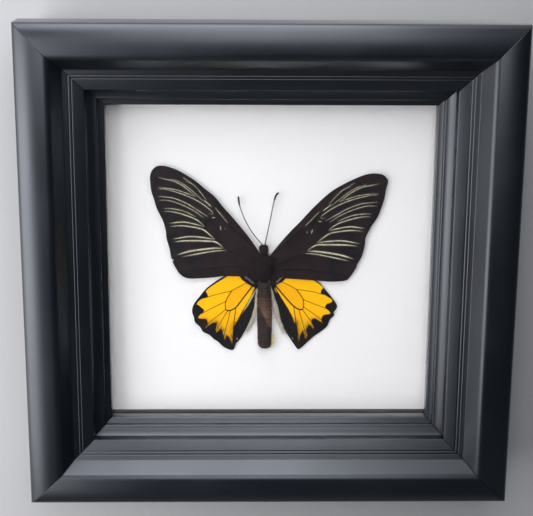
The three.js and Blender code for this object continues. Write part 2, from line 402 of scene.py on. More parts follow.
def bow(start: Point, end: Point, height: float, steps: int) -> list[Point]:
    """Points on a line that rises to a height over its middle, like half a wave.

    Args:
        start: First point.
        end: Last point.
        height: How far its middle stands above the straight line, below 0 for a dip.
        steps: Number of steps between the ends.

    Returns:
        The points, both ends among them.
    """
    across, up = end[0] - start[0], end[1] - start[1]
    shares = [i / steps for i in range(steps + 1)]
    return [(start[0] + across * t, start[1] + up * t + height * math.sin(math.pi * t)) for t in shares]


# ---- materials -----------------------------------------------------------------------------------


class Sheet:
    """Adds and joins the nodes of one node tree."""

    def __init__(self, tree: Tree) -> None:
        """Keeps the tree that nodes are added to."""
        self.tree = tree

    def add(self, kind: str, inputs: dict | None = None, **fields: object) -> bpy.types.Node:
        """Adds a node.

        Args:
            kind: Type name without its ShaderNode prefix.
            inputs: Values or sockets for its inputs, by name or number.
            fields: Values for the node's own fields.

        Returns:
            The new node.
        """
        node = self.tree.nodes.new(kind if kind.startswith("Node") else "ShaderNode" + kind)
        for name, value in fields.items():
            setattr(node, name, value)
        self.feed(node, inputs or {})
        return node

    def feed(self, node: bpy.types.Node, inputs: dict) -> None:
        """Sets a node's inputs.

        Args:
            node: The node.
            inputs: Values or sockets for its inputs, by name or number.
        """
        for key, value in inputs.items():
            if isinstance(value, bpy.types.NodeSocket):
                self.tree.links.new(value, node.inputs[key])
            else:
                node.inputs[key].default_value = value

    def attribute(self, name: str) -> Socket:
        """The number stored at each vertex under a name."""
        return self.add("Attribute", attribute_name=name).outputs["Fac"]

    def noise(self, vector: Socket, scale: float | Socket, detail: float = 3.0) -> Socket:
        """Noise from 0 to 1 at a scale in features a metre."""
        return self.add("TexNoise", {"Vector": vector, "Scale": scale, "Detail": detail}).outputs["Fac"]

    def scaled(self, colour: object, share: Socket) -> Socket:
        """A colour made lighter or darker by a share that changes over the surface."""
        return self.add("VectorMath", {0: colour, "Scale": share}, operation="SCALE").outputs[0]

    def stretched(self, vector: Socket, scale: Triple) -> Socket:
        """The vector with each of its axes scaled."""
        return self.add("Mapping", {"Vector": vector, "Scale": scale}).outputs["Vector"]

    def math(self, operation: str, a: object, b: object = 0.0, clamp: bool = False) -> Socket:
        """One sum on one or two numbers."""
        return self.add("Math", {0: a, 1: b}, operation=operation, use_clamp=clamp).outputs[0]

    def remap(self, value: object, low: float, high: float, to_low: float, to_high: float) -> Socket:
        """Moves a range of numbers to another range and holds it there."""
        inputs = {"Value": value, "From Min": low, "From Max": high, "To Min": to_low, "To Max": to_high}
        return self.add("MapRange", inputs).outputs["Result"]

    def mix(self, share: object, a: object, b: object) -> Socket:
        """Mixes two colours; a share of 1 gives the second."""
        return self.add("Mix", {0: share, 6: a, 7: b}, data_type="RGBA").outputs[2]

    def within(self, name: str, soft: float, noise: Socket | None = None, ragged: float = 0.0) -> Socket:
        """Tells where a marking lies whose distance is kept at the vertices.

        Args:
            name: The attribute with the distance in millimetres, below 0 inside the marking.
            soft: Half the width of the marking's edge, in millimetres.
            noise: Noise from 0 to 1 that frays the edge.
            ragged: How far the noise moves the edge, in millimetres.

        Returns:
            1 inside the marking and 0 outside it.
        """
        gap = self.attribute(name)
        if noise is not None:
            gap = self.math("ADD", gap, self.remap(noise, 0.3, 0.7, -ragged, ragged))
        return self.remap(gap, -soft, soft, 1.0, 0.0)

    def bump(self, height: object, distance: float) -> Socket:
        """A normal from a height, with the height's full range in metres."""
        return self.add("Bump", {"Height": height, "Distance": distance, "Strength": 1.0}).outputs["Normal"]


def open_group(
    name: str, numbers: dict[str, float], outputs: Sequence[str]
) -> tuple[Sheet, bpy.types.Node, bpy.types.Node]:
    """Starts a node group that works on coordinates.

    Args:
        name: The group's name.
        numbers: Its number inputs with their usual values; it also has the input Vector.
        outputs: Its outputs, each a number.

    Returns:
        The sheet to add nodes to, the group's input node and its output node.
    """
    group = bpy.data.node_groups.new(name, "ShaderNodeTree")
    group.interface.new_socket("Vector", in_out="INPUT", socket_type="NodeSocketVector")
    for number, usual in numbers.items():
        socket = group.interface.new_socket(number, in_out="INPUT", socket_type="NodeSocketFloat")
        socket.default_value = usual
    for output in outputs:
        group.interface.new_socket(output, in_out="OUTPUT", socket_type="NodeSocketFloat")
    sheet = Sheet(group)
    return sheet, sheet.add("NodeGroupInput"), sheet.add("NodeGroupOutput")


def fine_mottle_group() -> Tree:
    """A node group with coarse and fine unevenness, as on card, paint and fibres.

    Returns:
        The group, with inputs Vector, Coarse Scale and Fine Scale and outputs Coarse and Fine.
    """
    scales = {"Coarse Scale": 40.0, "Fine Scale": 900.0}
    details = {"Coarse": 3.0, "Fine": 6.0}
    sheet, given, result = open_group("fine mottle", scales, tuple(details))
    for name, detail in details.items():
        uneven = sheet.noise(given.outputs["Vector"], given.outputs[name + " Scale"], detail)
        sheet.feed(result, {name: uneven})
    return sheet.tree


def dust_group() -> Tree:
    """A node group that scatters small pale specks.

    Returns:
        The group, with inputs Vector, Scale and Amount and output Mask.
    """
    sheet, given, result = open_group("dust specks", {"Scale": 500.0, "Amount": 0.06}, ("Mask",))
    cells = sheet.add("TexVoronoi", {"Vector": given.outputs["Vector"], "Scale": given.outputs["Scale"]})
    near = sheet.math("LESS_THAN", cells.outputs["Distance"], 0.12)
    chosen = sheet.math("LESS_THAN", cells.outputs["Color"], given.outputs["Amount"])
    sheet.feed(result, {"Mask": sheet.math("MULTIPLY", near, chosen)})
    return sheet.tree


class Groups:
    """The node groups that several finishes share, each built once."""

    mottle: Tree
    dust: Tree

    @classmethod
    def build(cls) -> None:
        """Makes the groups."""
        cls.mottle = fine_mottle_group()
        cls.dust = dust_group()


@dataclass(frozen=True)
class Finish:
    """What every finish has: a name, a colour, a roughness and a metalness."""

    name: str
    colour: Colour
    roughness: float
    metallic: float = 0.0
    specular: float = 0.5
    coarse: float = 40.0  # features a metre of the mottle's coarse noise
    fine: float = 900.0  # features a metre of its fine noise
    contrast: float = 0.1  # how much lighter and darker the mottle makes the colour
    grain: float = 0.02  # height of the fine relief, in millimetres
    follows: str = ""  # a vector attribute that the pattern follows, in place of the object's own axes
    stretch: Triple = (1.0, 1.0, 1.0)

    def surface(self) -> tuple[Sheet, bpy.types.Node, Material]:
        """Makes an empty material with one surface shader.

        Returns:
            The sheet to add nodes to, the shader and the material.
        """
        material = bpy.data.materials.new(self.name)
        material.use_nodes = True
        sheet = Sheet(material.node_tree)
        shader = material.node_tree.nodes["Principled BSDF"]
        sheet.feed(shader, {"Metallic": self.metallic, "Specular IOR Level": self.specular})
        return sheet, shader, material

    def vector(self, sheet: Sheet) -> Socket:
        """Chooses the coordinates that the pattern follows.

        Args:
            sheet: The sheet to add nodes to.

        Returns:
            The coordinates, stretched as this finish asks.
        """
        if self.follows:
            own = sheet.add("Attribute", attribute_name=self.follows).outputs["Vector"]
        else:
            own = sheet.add("TexCoord").outputs["Object"]
        return sheet.stretched(own, self.stretch)

    def mottle(self, sheet: Sheet, vector: Socket) -> bpy.types.Node:
        """Places the shared mottle with this finish's own scales.

        Args:
            sheet: The sheet to add nodes to.
            vector: The coordinates.

        Returns:
            The group's node, with outputs Coarse and Fine.
        """
        node = sheet.add("Group", node_tree=Groups.mottle)
        sheet.feed(node, {"Vector": vector, "Coarse Scale": self.coarse, "Fine Scale": self.fine})
        return node

    def gloss(self, sheet: Sheet, uneven: Socket, smoother: float, rougher: float) -> Socket:
        """Makes the roughness follow an unevenness.

        Args:
            sheet: The sheet to add nodes to.
            uneven: The unevenness, from 0 to 1.
            smoother: How far the roughness falls below the finish's own.
            rougher: How far it rises above it.

        Returns:
            The roughness.
        """
        return sheet.remap(uneven, 0.3, 0.7, self.roughness - smoother, self.roughness + rougher)

    def shade(self, sheet: Sheet, uneven: Socket) -> Socket:
        """A share around 1 that varies by the finish's contrast."""
        return sheet.remap(uneven, 0.3, 0.7, 1 - self.contrast, 1 + self.contrast)

    def build(self) -> Material:
        """Makes a plain finish: a colour that varies a little, uneven gloss and fine relief.

        Returns:
            The material.
        """
        sheet, shader, material = self.surface()
        mottle = self.mottle(sheet, self.vector(sheet))
        coarse = sheet.math("MULTIPLY", mottle.outputs["Coarse"], 0.6)
        both = sheet.math("ADD", coarse, sheet.math("MULTIPLY", mottle.outputs["Fine"], 0.4))
        sheet.feed(shader, {
            "Base Color": sheet.scaled(self.colour[:3], self.shade(sheet, both)),
            "Roughness": self.gloss(sheet, mottle.outputs["Coarse"], 0.05, 0.05),
            "Normal": sheet.bump(mottle.outputs["Fine"], self.grain * MM),
        })
        return material


@dataclass(frozen=True)
class SatinPaint(Finish):
    """Black lacquer on wood: faint grain under it, orange peel in it, and a little dust on it."""

    peel: float = 0.01  # height of the orange peel, in millimetres
    grain_height: float = 0.02
    dust: float = 0.05  # share of the places that hold a speck
    reflected: Colour = (0.8, 0.865, 1.0, 1.0)  # tint of what the paint reflects
    coat: float = 0.5
    coat_roughness: float = 0.3

    def build(self) -> Material:
        """Makes the paint.

        Returns:
            The material.
        """
        sheet, shader, material = self.surface()
        along = self.vector(sheet)
        grain = sheet.noise(sheet.stretched(along, (6, 420, 420)), 1.0, 4.0)
        peel = sheet.noise(along, 700.0, 2.0)
        cloud = sheet.noise(along, 25.0, 3.0)
        specks = sheet.add("Group", node_tree=Groups.dust)
        sheet.feed(specks, {"Vector": along, "Scale": 420.0, "Amount": self.dust})
        worn = sheet.mix(sheet.remap(cloud, 0.35, 0.75, 0.0, 0.4), self.colour, srgb(14, 18, 22))
        speck = sheet.math("MULTIPLY", specks.outputs["Mask"], 0.35)
        relief = sheet.math("MULTIPLY", grain, self.grain_height)
        relief = sheet.math("ADD", relief, sheet.math("MULTIPLY", peel, self.peel))
        sheet.feed(shader, {
            "Base Color": sheet.mix(speck, worn, srgb(150, 150, 150)),
            "Roughness": self.gloss(sheet, cloud, 0.04, 0.05),
            "Specular Tint": self.reflected,
            "Coat Weight": self.coat,
            "Coat Roughness": self.coat_roughness,
            "Normal": sheet.bump(relief, MM),
        })
        return material


def clear_where(sheet: Sheet, shader: bpy.types.Node, hidden: Socket) -> None:
    """Makes a material clear wherever a number is 1.

    Args:
        sheet: The material's sheet.
        shader: Its surface shader.
        hidden: The number, from 0 to 1.
    """
    clear = sheet.add("BsdfTransparent")
    mixed = sheet.add("MixShader", {0: hidden, 1: shader.outputs[0], 2: clear.outputs[0]})
    sheet.feed(sheet.tree.nodes["Material Output"], {"Surface": mixed.outputs[0]})


@dataclass(frozen=True)
class PictureGlass:
    """Clear glass that lets the lamps light what is behind it."""

    name: str = "picture glass"
    bends: float = 1.5  # index of refraction

    def build(self) -> Material:
        """Makes the glass: light that casts shadows passes straight through.

        Returns:
            The material.
        """
        material = bpy.data.materials.new(self.name)
        material.use_nodes = True
        sheet = Sheet(material.node_tree)
        shader = material.node_tree.nodes["Principled BSDF"]
        sheet.feed(shader, {
            "Base Color": (1.0, 1.0, 1.0, 1.0),
            "Transmission Weight": 1.0,
            "Roughness": 0.0,
            "IOR": self.bends,
        })
        clear_where(sheet, shader, sheet.add("LightPath").outputs["Is Shadow Ray"])
        return material


@dataclass(frozen=True)
class WingFinish(Finish):
    """Scaled wing membrane: rows of tiny scales, and colours laid out from the veins."""

    paints: Callable[[Sheet, Socket], Socket] | None = None

    def build(self) -> Material:
        """Makes the wing's finish.

        Returns:
            The material.
        """
        sheet, shader, material = self.surface()
        vector = self.vector(sheet)
        mottle = self.mottle(sheet, vector)
        scales = sheet.add("TexVoronoi", {"Vector": vector, "Scale": 3200.0})
        shade = self.shade(sheet, mottle.outputs["Fine"])
        sheet.feed(shader, {
            "Base Color": sheet.scaled(self.paints(sheet, vector), shade),
            "Roughness": self.gloss(sheet, mottle.outputs["Coarse"], 0.06, 0.06),
            "Normal": sheet.bump(scales.outputs["Distance"], self.grain * MM),
        })
        return material


def paint_dark_wing(sheet: Sheet, vector: Socket) -> Socket:
    """Colours of a forewing: black-brown with cream beside the veins; the outer part turns darker and bluer
    towards the tip, a painted reflection of the sky.

    Args:
        sheet: The sheet to add nodes to.
        vector: The coordinates.

    Returns:
        The colour.
    """
    cloud = sheet.noise(vector, 120.0, 4.0)
    scales = sheet.noise(vector, 3000.0, 2.0)
    # painted reflection: the black-brown ground turns to a darker blue-black towards the tip, standing in
    # for sky reflected in the outer wing
    ground = sheet.mix(sheet.attribute("outer"), srgb(24, 15, 17), srgb(12, 13, 17))
    ground = sheet.mix(sheet.remap(cloud, 0.35, 0.7, 0.0, 0.75), ground, srgb(42, 26, 28))
    ground = sheet.mix(sheet.within("vein", 0.12), ground, srgb(9, 8, 9))
    dusting = sheet.math("MULTIPLY", sheet.within("cream", 0.8, scales, 0.5), 0.13)
    ground = sheet.mix(dusting, ground, srgb(190, 184, 160))
    worn = sheet.remap(sheet.noise(vector, 330.0, 4.0), 0.34, 0.66, 0.5, 0.96)
    cream = sheet.within("cream", 0.14, scales, 0.13)
    return sheet.mix(sheet.math("MULTIPLY", cream, worn), ground, srgb(214, 208, 180))


def paint_gold_wing(sheet: Sheet, vector: Socket) -> Socket:
    """Colours of a hindwing: golden cells, black veins, border and hind margin.

    Args:
        sheet: The sheet to add nodes to.
        vector: The coordinates.

    Returns:
        The colour.
    """
    scales = sheet.noise(vector, 1800.0, 3.0)
    gold = sheet.mix(sheet.attribute("amber"), srgb(245, 184, 2), srgb(232, 158, 2))
    rays = sheet.noise(sheet.stretched(vector, (1.0, 1.0, 0.22)), 1500.0, 3.0)
    rayed = sheet.remap(rays, 0.35, 0.65, 0.35, 1.3)
    smoke = sheet.math("MULTIPLY", sheet.attribute("smoke"), rayed, clamp=True)
    gold = sheet.mix(smoke, gold, srgb(46, 28, 8))
    cloud = sheet.noise(vector, 150.0, 4.0)
    black = sheet.mix(sheet.remap(cloud, 0.35, 0.7, 0.0, 0.5), srgb(14, 13, 15), srgb(32, 24, 24))
    colour = sheet.mix(sheet.within("gold", 0.12, scales, 0.13), black, gold)
    colour = sheet.mix(sheet.within("vein", 0.1, scales, 0.05), colour, srgb(20, 12, 8))
    streak = sheet.math("MULTIPLY", sheet.within("cream", 0.18, scales, 0.12), 0.8)
    colour = sheet.mix(streak, colour, srgb(214, 198, 148))
    spot = sheet.math("MULTIPLY", sheet.within("pink", 0.3, scales, 0.15), 0.75)
    return sheet.mix(spot, colour, srgb(196, 150, 124))


@dataclass(frozen=True)
class HairFinish(Finish):
    """Hairs that differ a little in tone from one to the next."""

    roughness: float = 0.6
    specular: float = 0.2
    second: Colour = (0.1, 0.1, 0.1, 1.0)

    def build(self) -> Material:
        """Makes the hair's finish.

        Returns:
            The material.
        """
        sheet, shader, material = self.surface()
        colour = sheet.mix(sheet.attribute("tone"), self.colour, self.second)
        sheet.feed(shader, {"Base Color": colour, "Roughness": self.roughness})
        return material


@dataclass(frozen=True)
class ChitinFinish(Finish):
    """The insect's skin: dark, finely pitted and paler where it is rubbed."""

    rubbed: Colour = (0.1, 0.05, 0.03, 1.0)

    def build(self) -> Material:
        """Makes the skin.

        Returns:
            The material.
        """
        sheet, shader, material = self.surface()
        mottle = self.mottle(sheet, self.vector(sheet))
        patches = sheet.remap(mottle.outputs["Coarse"], 0.45, 0.7, 0.0, 0.16)
        rubbed = sheet.math("ADD", sheet.attribute("rubbed"), patches, clamp=True)
        base = sheet.mix(rubbed, self.colour, self.rubbed)
        base = sheet.mix(sheet.attribute("groove"), base, srgb(20, 14, 12))
        fine = sheet.remap(mottle.outputs["Fine"], 0.3, 0.7, 0.7, 1.3)
        sheet.feed(shader, {
            "Base Color": sheet.scaled(base, fine),
            "Roughness": self.roughness,
            "Normal": sheet.bump(mottle.outputs["Fine"], self.grain * MM),
        })
        return material


@dataclass(frozen=True)
class WallPaint(Finish):
    """Pale wall that casts no shadow and doesn't show from behind, so that the frame's back can be seen."""

    def build(self) -> Material:
        """Makes the wall's finish.

        Returns:
            The material.
        """
        sheet, shader, material = self.surface()
        sheet.feed(shader, {"Base Color": self.colour, "Roughness": self.roughness})
        behind = sheet.add("NewGeometry").outputs["Backfacing"]
        shadow = sheet.add("LightPath").outputs["Is Shadow Ray"]
        clear_where(sheet, shader, sheet.math("MAXIMUM", behind, shadow))
        return material


# ---- the frame -----------------------------------------------------------------------------------


class Side(Enum):
    """The four rails, each with its turn about the frame's middle from the top rail's place."""

    TOP = 0.0
    RIGHT = 90.0
    BOTTOM = 180.0
    LEFT = -90.0

    @property
    def node(self) -> str:
        """The CAD node of this rail."""
        return "rail_" + self.name.lower()


@dataclass
class Moulding:
    """Four mitred rails with a cushion outside, two fine reeds, a cove, a step and a thin lip."""

    sight: float = 46.7  # inset of the clear opening
    rabbet: float = 39.3  # inset of the rabbet's wall
    seat: float = 17.5  # depth of the rabbet's floor
    waist: Point = (4.0, 16.0)  # inset and depth of the plain side behind the cushion
    swell: float = 0.8  # how far the cushion stands out past the frame's own outer size
    swell_depth: float = 20.0  # where the outer side reaches the swell
    shoulder: float = 40.6  # depth where the outer side starts to turn over
    crown: Point = (15.5, 46.5)
    crown_radius: float = 5.3  # of the arc from the crown to the straight inner slope
    slope: float = 50.0  # angle of the inner slope
    cushion_foot: Point = (24.75, 38.5)
    reeds: tuple[Point, ...] = (
        (25.1, 38.1), (27.9, 37.5), (28.25, 37.15), (28.65, 37.35), (29.65, 37.1), (30.0, 36.75),
    )
    cove: tuple[Point, Point] = ((30.4, 36.95), (36.75, 34.95))
    cove_bulge: float = 0.08
    step: tuple[Point, Point] = ((37.2, 29.9), (42.15, 27.2))
    step_dip: float = 0.4
    step_round: Point = (0.95, 1.0)
    lip_foot: Point = (43.15, 24.7)
    lip_depth: float = 24.0
    lip_radius: float = 1.1
    mitre_gap: float = 0.14
    edge: float = 0.28  # width of the bevel on every sharp edge
    spare: float = 5.0  # length past each mitre before it is cut

    def cross_section(self) -> list[Point]:
        """The moulding's section.

        Returns:
            Points of inset from the outer side and depth from the back plane, in millimetres.
        """
        crown_inset, crown_depth = self.crown
        over = (crown_inset + self.swell, crown_depth - self.shoulder)
        outer = arc((crown_inset, self.shoulder), over, 180, 90, 16)
        round_off = (self.crown_radius, self.crown_radius)
        inner = arc((crown_inset, crown_depth - self.crown_radius), round_off, 90, 90 - self.slope, 14)[1:]
        inner.append(self.cushion_foot)
        cove = bow(*self.cove, self.cove_bulge, 8)
        step = bow(*self.step, -self.step_dip, 6)
        step_inset, step_depth = self.step[1]
        step += arc((step_inset, step_depth - self.step_round[1]), self.step_round, 80, 0, 4)
        lip_centre = (self.sight - self.lip_radius, self.lip_depth - self.lip_radius)
        lip = arc(lip_centre, (self.lip_radius, self.lip_radius), 84, 0, 7)
        back = [(self.sight, self.seat), (self.rabbet, self.seat), (self.rabbet, 0.0)]
        waist_inset, _ = self.waist
        outside = [(waist_inset, 0.0), self.waist, (-self.swell, self.swell_depth)]
        return [*outside, *outer, *inner, *self.reeds, *cove, *step, self.lip_foot, *lip, *back]

    def rail(self) -> Piece:
        """The top rail: its section drawn out, cut at both ends at the mitre and softly rounded.

        Returns:
            The rail, with its place in its mesh.
        """
        section = self.cross_section()
        reach = HALF + self.spare
        deselect()
        bpy.ops.mesh.primitive_circle_add(vertices=len(section), fill_type="NGON")
        rail = bpy.context.active_object
        rows = [(-reach * MM, depth(forward), (HALF - inset) * MM) for inset, forward in section]
        move_to(rail, np.array(rows))
        with editing(rail):
            bpy.ops.mesh.extrude_region_move(TRANSFORM_OT_translate={"value": (2 * reach * MM, 0, 0)})
            for side in (-1, 1):
                bpy.ops.mesh.select_all(action="SELECT")
                bpy.ops.mesh.bisect(
                    plane_co=(side * (HALF - self.mitre_gap / 2) * MM, 0, HALF * MM),
                    plane_no=(side, 0, -1), use_fill=True, clear_outer=True,
                )
            bpy.ops.mesh.select_all(action="SELECT")
            bpy.ops.mesh.normals_make_consistent(inside=False)
        apply_bevel(rail, self.edge, 3)
        return rail

    def build(self, paint: Material) -> None:
        """Makes the four rails, each turned to its side of the frame.

        Args:
            paint: The finish.
        """
        first = self.rail()
        set_attribute(first, "along", places(first))
        for side in Side:
            rail = first.copy()
            rail.data = first.data.copy()
            bpy.context.scene.collection.objects.link(rail)
            rail.data.transform(Matrix.Rotation(math.radians(side.value), 4, "Y"))
            smooth(rail, 40)
            settle(rail, side.node + "_painted", Slot.PAINT, paint, side.node)
        bpy.data.objects.remove(first)


@dataclass
class Hardware:
    """What holds and hangs the frame at its back."""

    def build(self, steel: Material, brass: Material, rubber: Material) -> None:
        """Dresses the framer's points, the hanger with its nails and the bumpers.

        Args:
            steel: The finish of the points.
            brass: The finish of the hanger and its nails.
            rubber: The finish of the bumpers.
        """
        for number in range(1, 9):
            dress(f"framer_point_{number}", steel)
        for node in ("sawtooth_hanger", "hanger_nail_left", "hanger_nail_right"):
            dress(node, brass)
        for node in ("bumper_left", "bumper_right"):
            dress(node, rubber)


# ---- the wings -----------------------------------------------------------------------------------


@dataclass(frozen=True)
class Stroke:
    """A marking drawn along a smooth line, in millimetres."""

    points: tuple[Point, ...]
    width: float
    taper: float = 0.24  # share of the length over which each end narrows to nothing

    def gap(self, places_mm: np.ndarray, carry: "Carry") -> np.ndarray:
        """How far each place lies outside the stroke.

        Args:
            places_mm: Rows of x and z.
            carry: How the left wing's drawing is laid on this wing.

        Returns:
            A distance in millimetres for each place, below 0 inside the stroke.
        """
        away, along = nearest(places_mm, carry(spline(self.points, 0.8)))
        ends = np.clip(np.minimum(along, 1 - along) / self.taper, 0, 1) if self.taper else 1.0
        return away - self.width / 2 * (1.6 * np.sqrt(ends) - 0.6)


@dataclass(frozen=True)
class Carry:
    """Lays the left wing's drawing on a wing: turned, stretched and moved about a pivot."""

    pivot: Point = (0.0, 0.0)
    rows: tuple[Point, Point] = ((1.0, 0.0), (0.0, 1.0))
    to: Point = (0.0, 0.0)

    def __call__(self, points: np.ndarray) -> np.ndarray:
        """Moves points from the left wing's drawing to this wing."""
        return (points - np.array(self.pivot)) @ np.array(self.rows).T + np.array(self.to)


@dataclass
class Wing:
    """One wing: a thin plate with its own outline, raised veins and markings kept at its vertices."""

    name: str
    outline: tuple[Point, ...]
    carry: Carry
    level: float  # depth of the wing's middle from the frame's back plane
    spacing: float = 0.34  # between the vertices
    clearance: float = 0.4  # share of the spacing that is kept free beside the lines
    thickness: float = 0.12

    def lattice(self) -> tuple[np.ndarray, list]:
        """Fills the outline with small, even triangles.

        Returns:
            Rows of x and z in millimetres, and the triangles.
        """
        edge = spline(self.outline, self.spacing * 0.8, closed=True)
        low, high = edge.min(0), edge.max(0)
        row_height = self.spacing * math.sqrt(3) / 2
        rows = np.arange(low[1], high[1], row_height)
        points = [
            (x + (self.spacing / 2 if i % 2 else 0), z)
            for i, z in enumerate(rows)
            for x in np.arange(low[0], high[0], self.spacing)
        ]
        grid = np.array(points)
        grid = grid[inside(grid, edge)]
        closed = np.vstack([edge, edge[:1]])
        near, _ = nearest(grid, closed)
        grid = grid[near > self.spacing * 0.45]
        ring = [(i, (i + 1) % len(edge)) for i in range(len(edge))]
        every = [edge]
        for stroke in self.strokes():
            line = self.carry(spline(stroke.points, self.spacing))
            line = line[inside(line, edge)]
            line = line[nearest(line, closed)[0] > self.spacing * self.clearance]
            if len(line) > 1:
                grid = grid[nearest(grid, line)[0] > self.spacing * self.clearance]
                start = sum(len(part) for part in every)
                ring += [(start + i, start + i + 1) for i in range(len(line) - 1)]
                every.append(line)
        every = np.vstack([*every, grid])
        result = delaunay_2d_cdt([Vector(p) for p in every], ring, [], 1, 1e-6)
        return np.array([tuple(v) for v in result[0]]), result[2]

    def strokes(self) -> tuple[Stroke, ...]:
        """The lines that the mesh follows."""
        raise NotImplementedError

    def markings(self, flat: np.ndarray) -> dict[str, np.ndarray]:
        """The numbers that the finish reads at each vertex."""
        raise NotImplementedError

    def relief(self, flat: np.ndarray, marks: dict[str, np.ndarray]) -> np.ndarray:
        """How far each vertex stands forward of the wing's level, in millimetres."""
        raise NotImplementedError

    def build(self, node: str, slot: Slot, material: Material) -> Piece:
        """Makes the wing.

        Args:
            node: The CAD node that it replaces.
            slot: The material slot.
            material: The finish.

        Returns:
            The wing.
        """
        flat, faces = self.lattice()
        marks = self.markings(flat)
        forward = self.level + self.relief(flat, marks)
        rows = np.column_stack([flat[:, 0] * MM, BACK_PLANE - forward * MM, flat[:, 1] * MM])
        wing = new_piece(self.name, rows, faces)
        for name, values in marks.items():
            set_attribute(wing, name, values)
        with editing(wing):
            bpy.ops.mesh.normals_make_consistent(inside=False)
        if wing.data.polygons[0].normal.y > 0:
            wing.data.flip_normals()
        apply_modifier(wing, "SOLIDIFY", thickness=self.thickness * MM, offset=0.0)
        smooth(wing, 60)
        return settle(wing, self.name, slot, material, node)


def waves(flat: np.ndarray, seed: int, length: float, height: float) -> np.ndarray:
    """A gentle unevenness, as a sum of a few slow waves.

    Args:
        flat: Rows of x and z.
        seed: Start of the random draws.
        length: Shortest wavelength in millimetres.
        height: Height of the waves in millimetres.

    Returns:
        A height for each row.
    """
    draws = np.random.default_rng(seed)
    total = np.zeros(len(flat))
    for _ in range(7):
        turn = draws.uniform(0, 2 * math.pi)
        run = length * draws.uniform(1.0, 3.0)
        ahead = flat @ np.array([math.cos(turn), math.sin(turn)])
        total += np.sin(2 * math.pi * ahead / run + draws.uniform(0, 2 * math.pi))
    return height * total / 4


FOREWING_VEINS = (
    Stroke(((-66.5, 50.8), (-60.7, 49.9), (-55.8, 48.7), (-50.6, 46.4), (-43.3, 41.0), (-33.7, 31.3)), 0.5),
    Stroke(((-66.5, 44.7), (-60.7, 43.6), (-54.0, 42.0), (-44.3, 38.4), (-34.6, 31.3), (-31.7, 29.8)), 0.5),
    Stroke(((-66.6, 38.2), (-59.9, 37.6), (-54.0, 36.5), (-45.3, 32.3), (-37.6, 27.2), (-33.7, 25.8)), 0.5),
    Stroke(((-63.8, 30.8), (-58.0, 30.9), (-53.1, 30.1), (-45.4, 27.2), (-41.5, 25.4), (-38.1, 22.0)), 0.55),
    Stroke(((-61.5, 22.0), (-55.2, 22.6), (-46.4, 21.8), (-38.6, 20.0)), 0.6),
    Stroke(((-59.8, 12.3), (-53.3, 13.2), (-43.5, 13.5), (-34.7, 12.9), (-31.8, 12.6)), 0.6),
    Stroke(((-57.6, 2.6), (-50.9, 4.5), (-40.6, 6.3), (-30.8, 7.2), (-26.4, 7.5)), 0.6),
    Stroke(((-5.2, -4.6), (-14.1, 1.0), (-20.0, 4.3), (-26.4, 7.5), (-31.8, 12.6), (-37.6, 19.2),
            (-38.1, 22.7), (-35.6, 26.3), (-31.7, 29.8)), 0.8),
    Stroke(((-4.2, 1.5), (-14.1, 12.7), (-23.9, 22.0), (-31.7, 30.3), (-38.5, 37.8), (-45.2, 45.7),
            (-52.0, 51.1)), 0.9),
    Stroke(((-4.2, -6.2), (-14.1, -4.1), (-23.9, -3.1), (-38.7, -4.7), (-51.0, -6.2)), 0.7),
)
FOREWING_CREAM = (
    Stroke(((-51.0, 50.4), (-46.2, 47.1)), 0.11),
    Stroke(((-49.1, 48.1), (-45.9, 46.7), (-42.8, 44.0), (-37.5, 37.3)), 0.17),
    Stroke(((-65.0, 50.4), (-60.7, 49.2), (-56.3, 48.2), (-52.0, 46.0), (-48.6, 43.5), (-43.2, 38.8)), 0.36),
    Stroke(((-57.8, 49.5), (-53.0, 47.8), (-49.1, 45.3), (-45.3, 42.2), (-38.5, 35.8)), 0.19),
    Stroke(((-65.1, 44.2), (-60.7, 43.9), (-54.0, 42.7), (-46.7, 40.1), (-43.2, 38.8)), 0.27),
    Stroke(((-65.1, 43.4), (-60.8, 43.2), (-52.1, 40.7), (-44.3, 37.4), (-38.5, 33.8), (-33.9, 29.8),
            (-33.9, 28.4), (-35.9, 28.8)), 0.37),
    Stroke(((-65.2, 39.1), (-59.8, 38.5), (-55.5, 37.7), (-48.2, 34.5), (-42.4, 30.8), (-36.6, 27.0)), 0.28),
    Stroke(((-65.2, 36.8), (-58.9, 36.5), (-51.6, 34.0), (-44.4, 30.3), (-39.0, 26.3)), 0.3),
    Stroke(((-62.1, 31.7), (-58.0, 31.7), (-50.7, 30.3), (-43.4, 26.8)), 0.27),
    Stroke(((-62.1, 30.0), (-58.0, 30.0), (-50.7, 28.2), (-43.9, 25.5), (-39.5, 22.2), (-38.6, 20.7)), 0.52),
    Stroke(((-38.6, 20.9), (-44.4, 22.5), (-50.8, 23.7), (-59.1, 22.9)), 0.55),
    Stroke(((-58.6, 21.0), (-52.2, 21.5), (-44.4, 20.5), (-38.6, 18.7), (-32.3, 13.1)), 0.6),
    Stroke(((-32.5, 13.2), (-39.6, 14.4), (-47.4, 14.9), (-57.2, 13.4)), 0.6),
    Stroke(((-56.5, 11.7), (-49.4, 12.4), (-36.7, 12.2), (-31.6, 11.5), (-27.1, 8.0)), 0.78),
    Stroke(((-27.1, 8.0), (-34.7, 7.7), (-46.5, 6.1), (-54.9, 3.7)), 0.85),
    Stroke(((-25.4, 6.6), (-32.8, 6.1), (-44.6, 4.0), (-51.9, 2.5)), 0.5),
    Stroke(((-39.0, 37.3), (-36.6, 35.0), (-34.1, 32.8)), 0.36),
    Stroke(((-32.2, 32.3), (-29.8, 29.3), (-24.9, 23.3)), 0.19),
    Stroke(((-29.3, 21.3), (-28.8, 18.7)), 0.37),
    Stroke(((-26.4, 20.0), (-26.3, 19.2)), 0.17),
    Stroke(((-34.2, 26.3), (-32.2, 26.5)), 0.27),
)


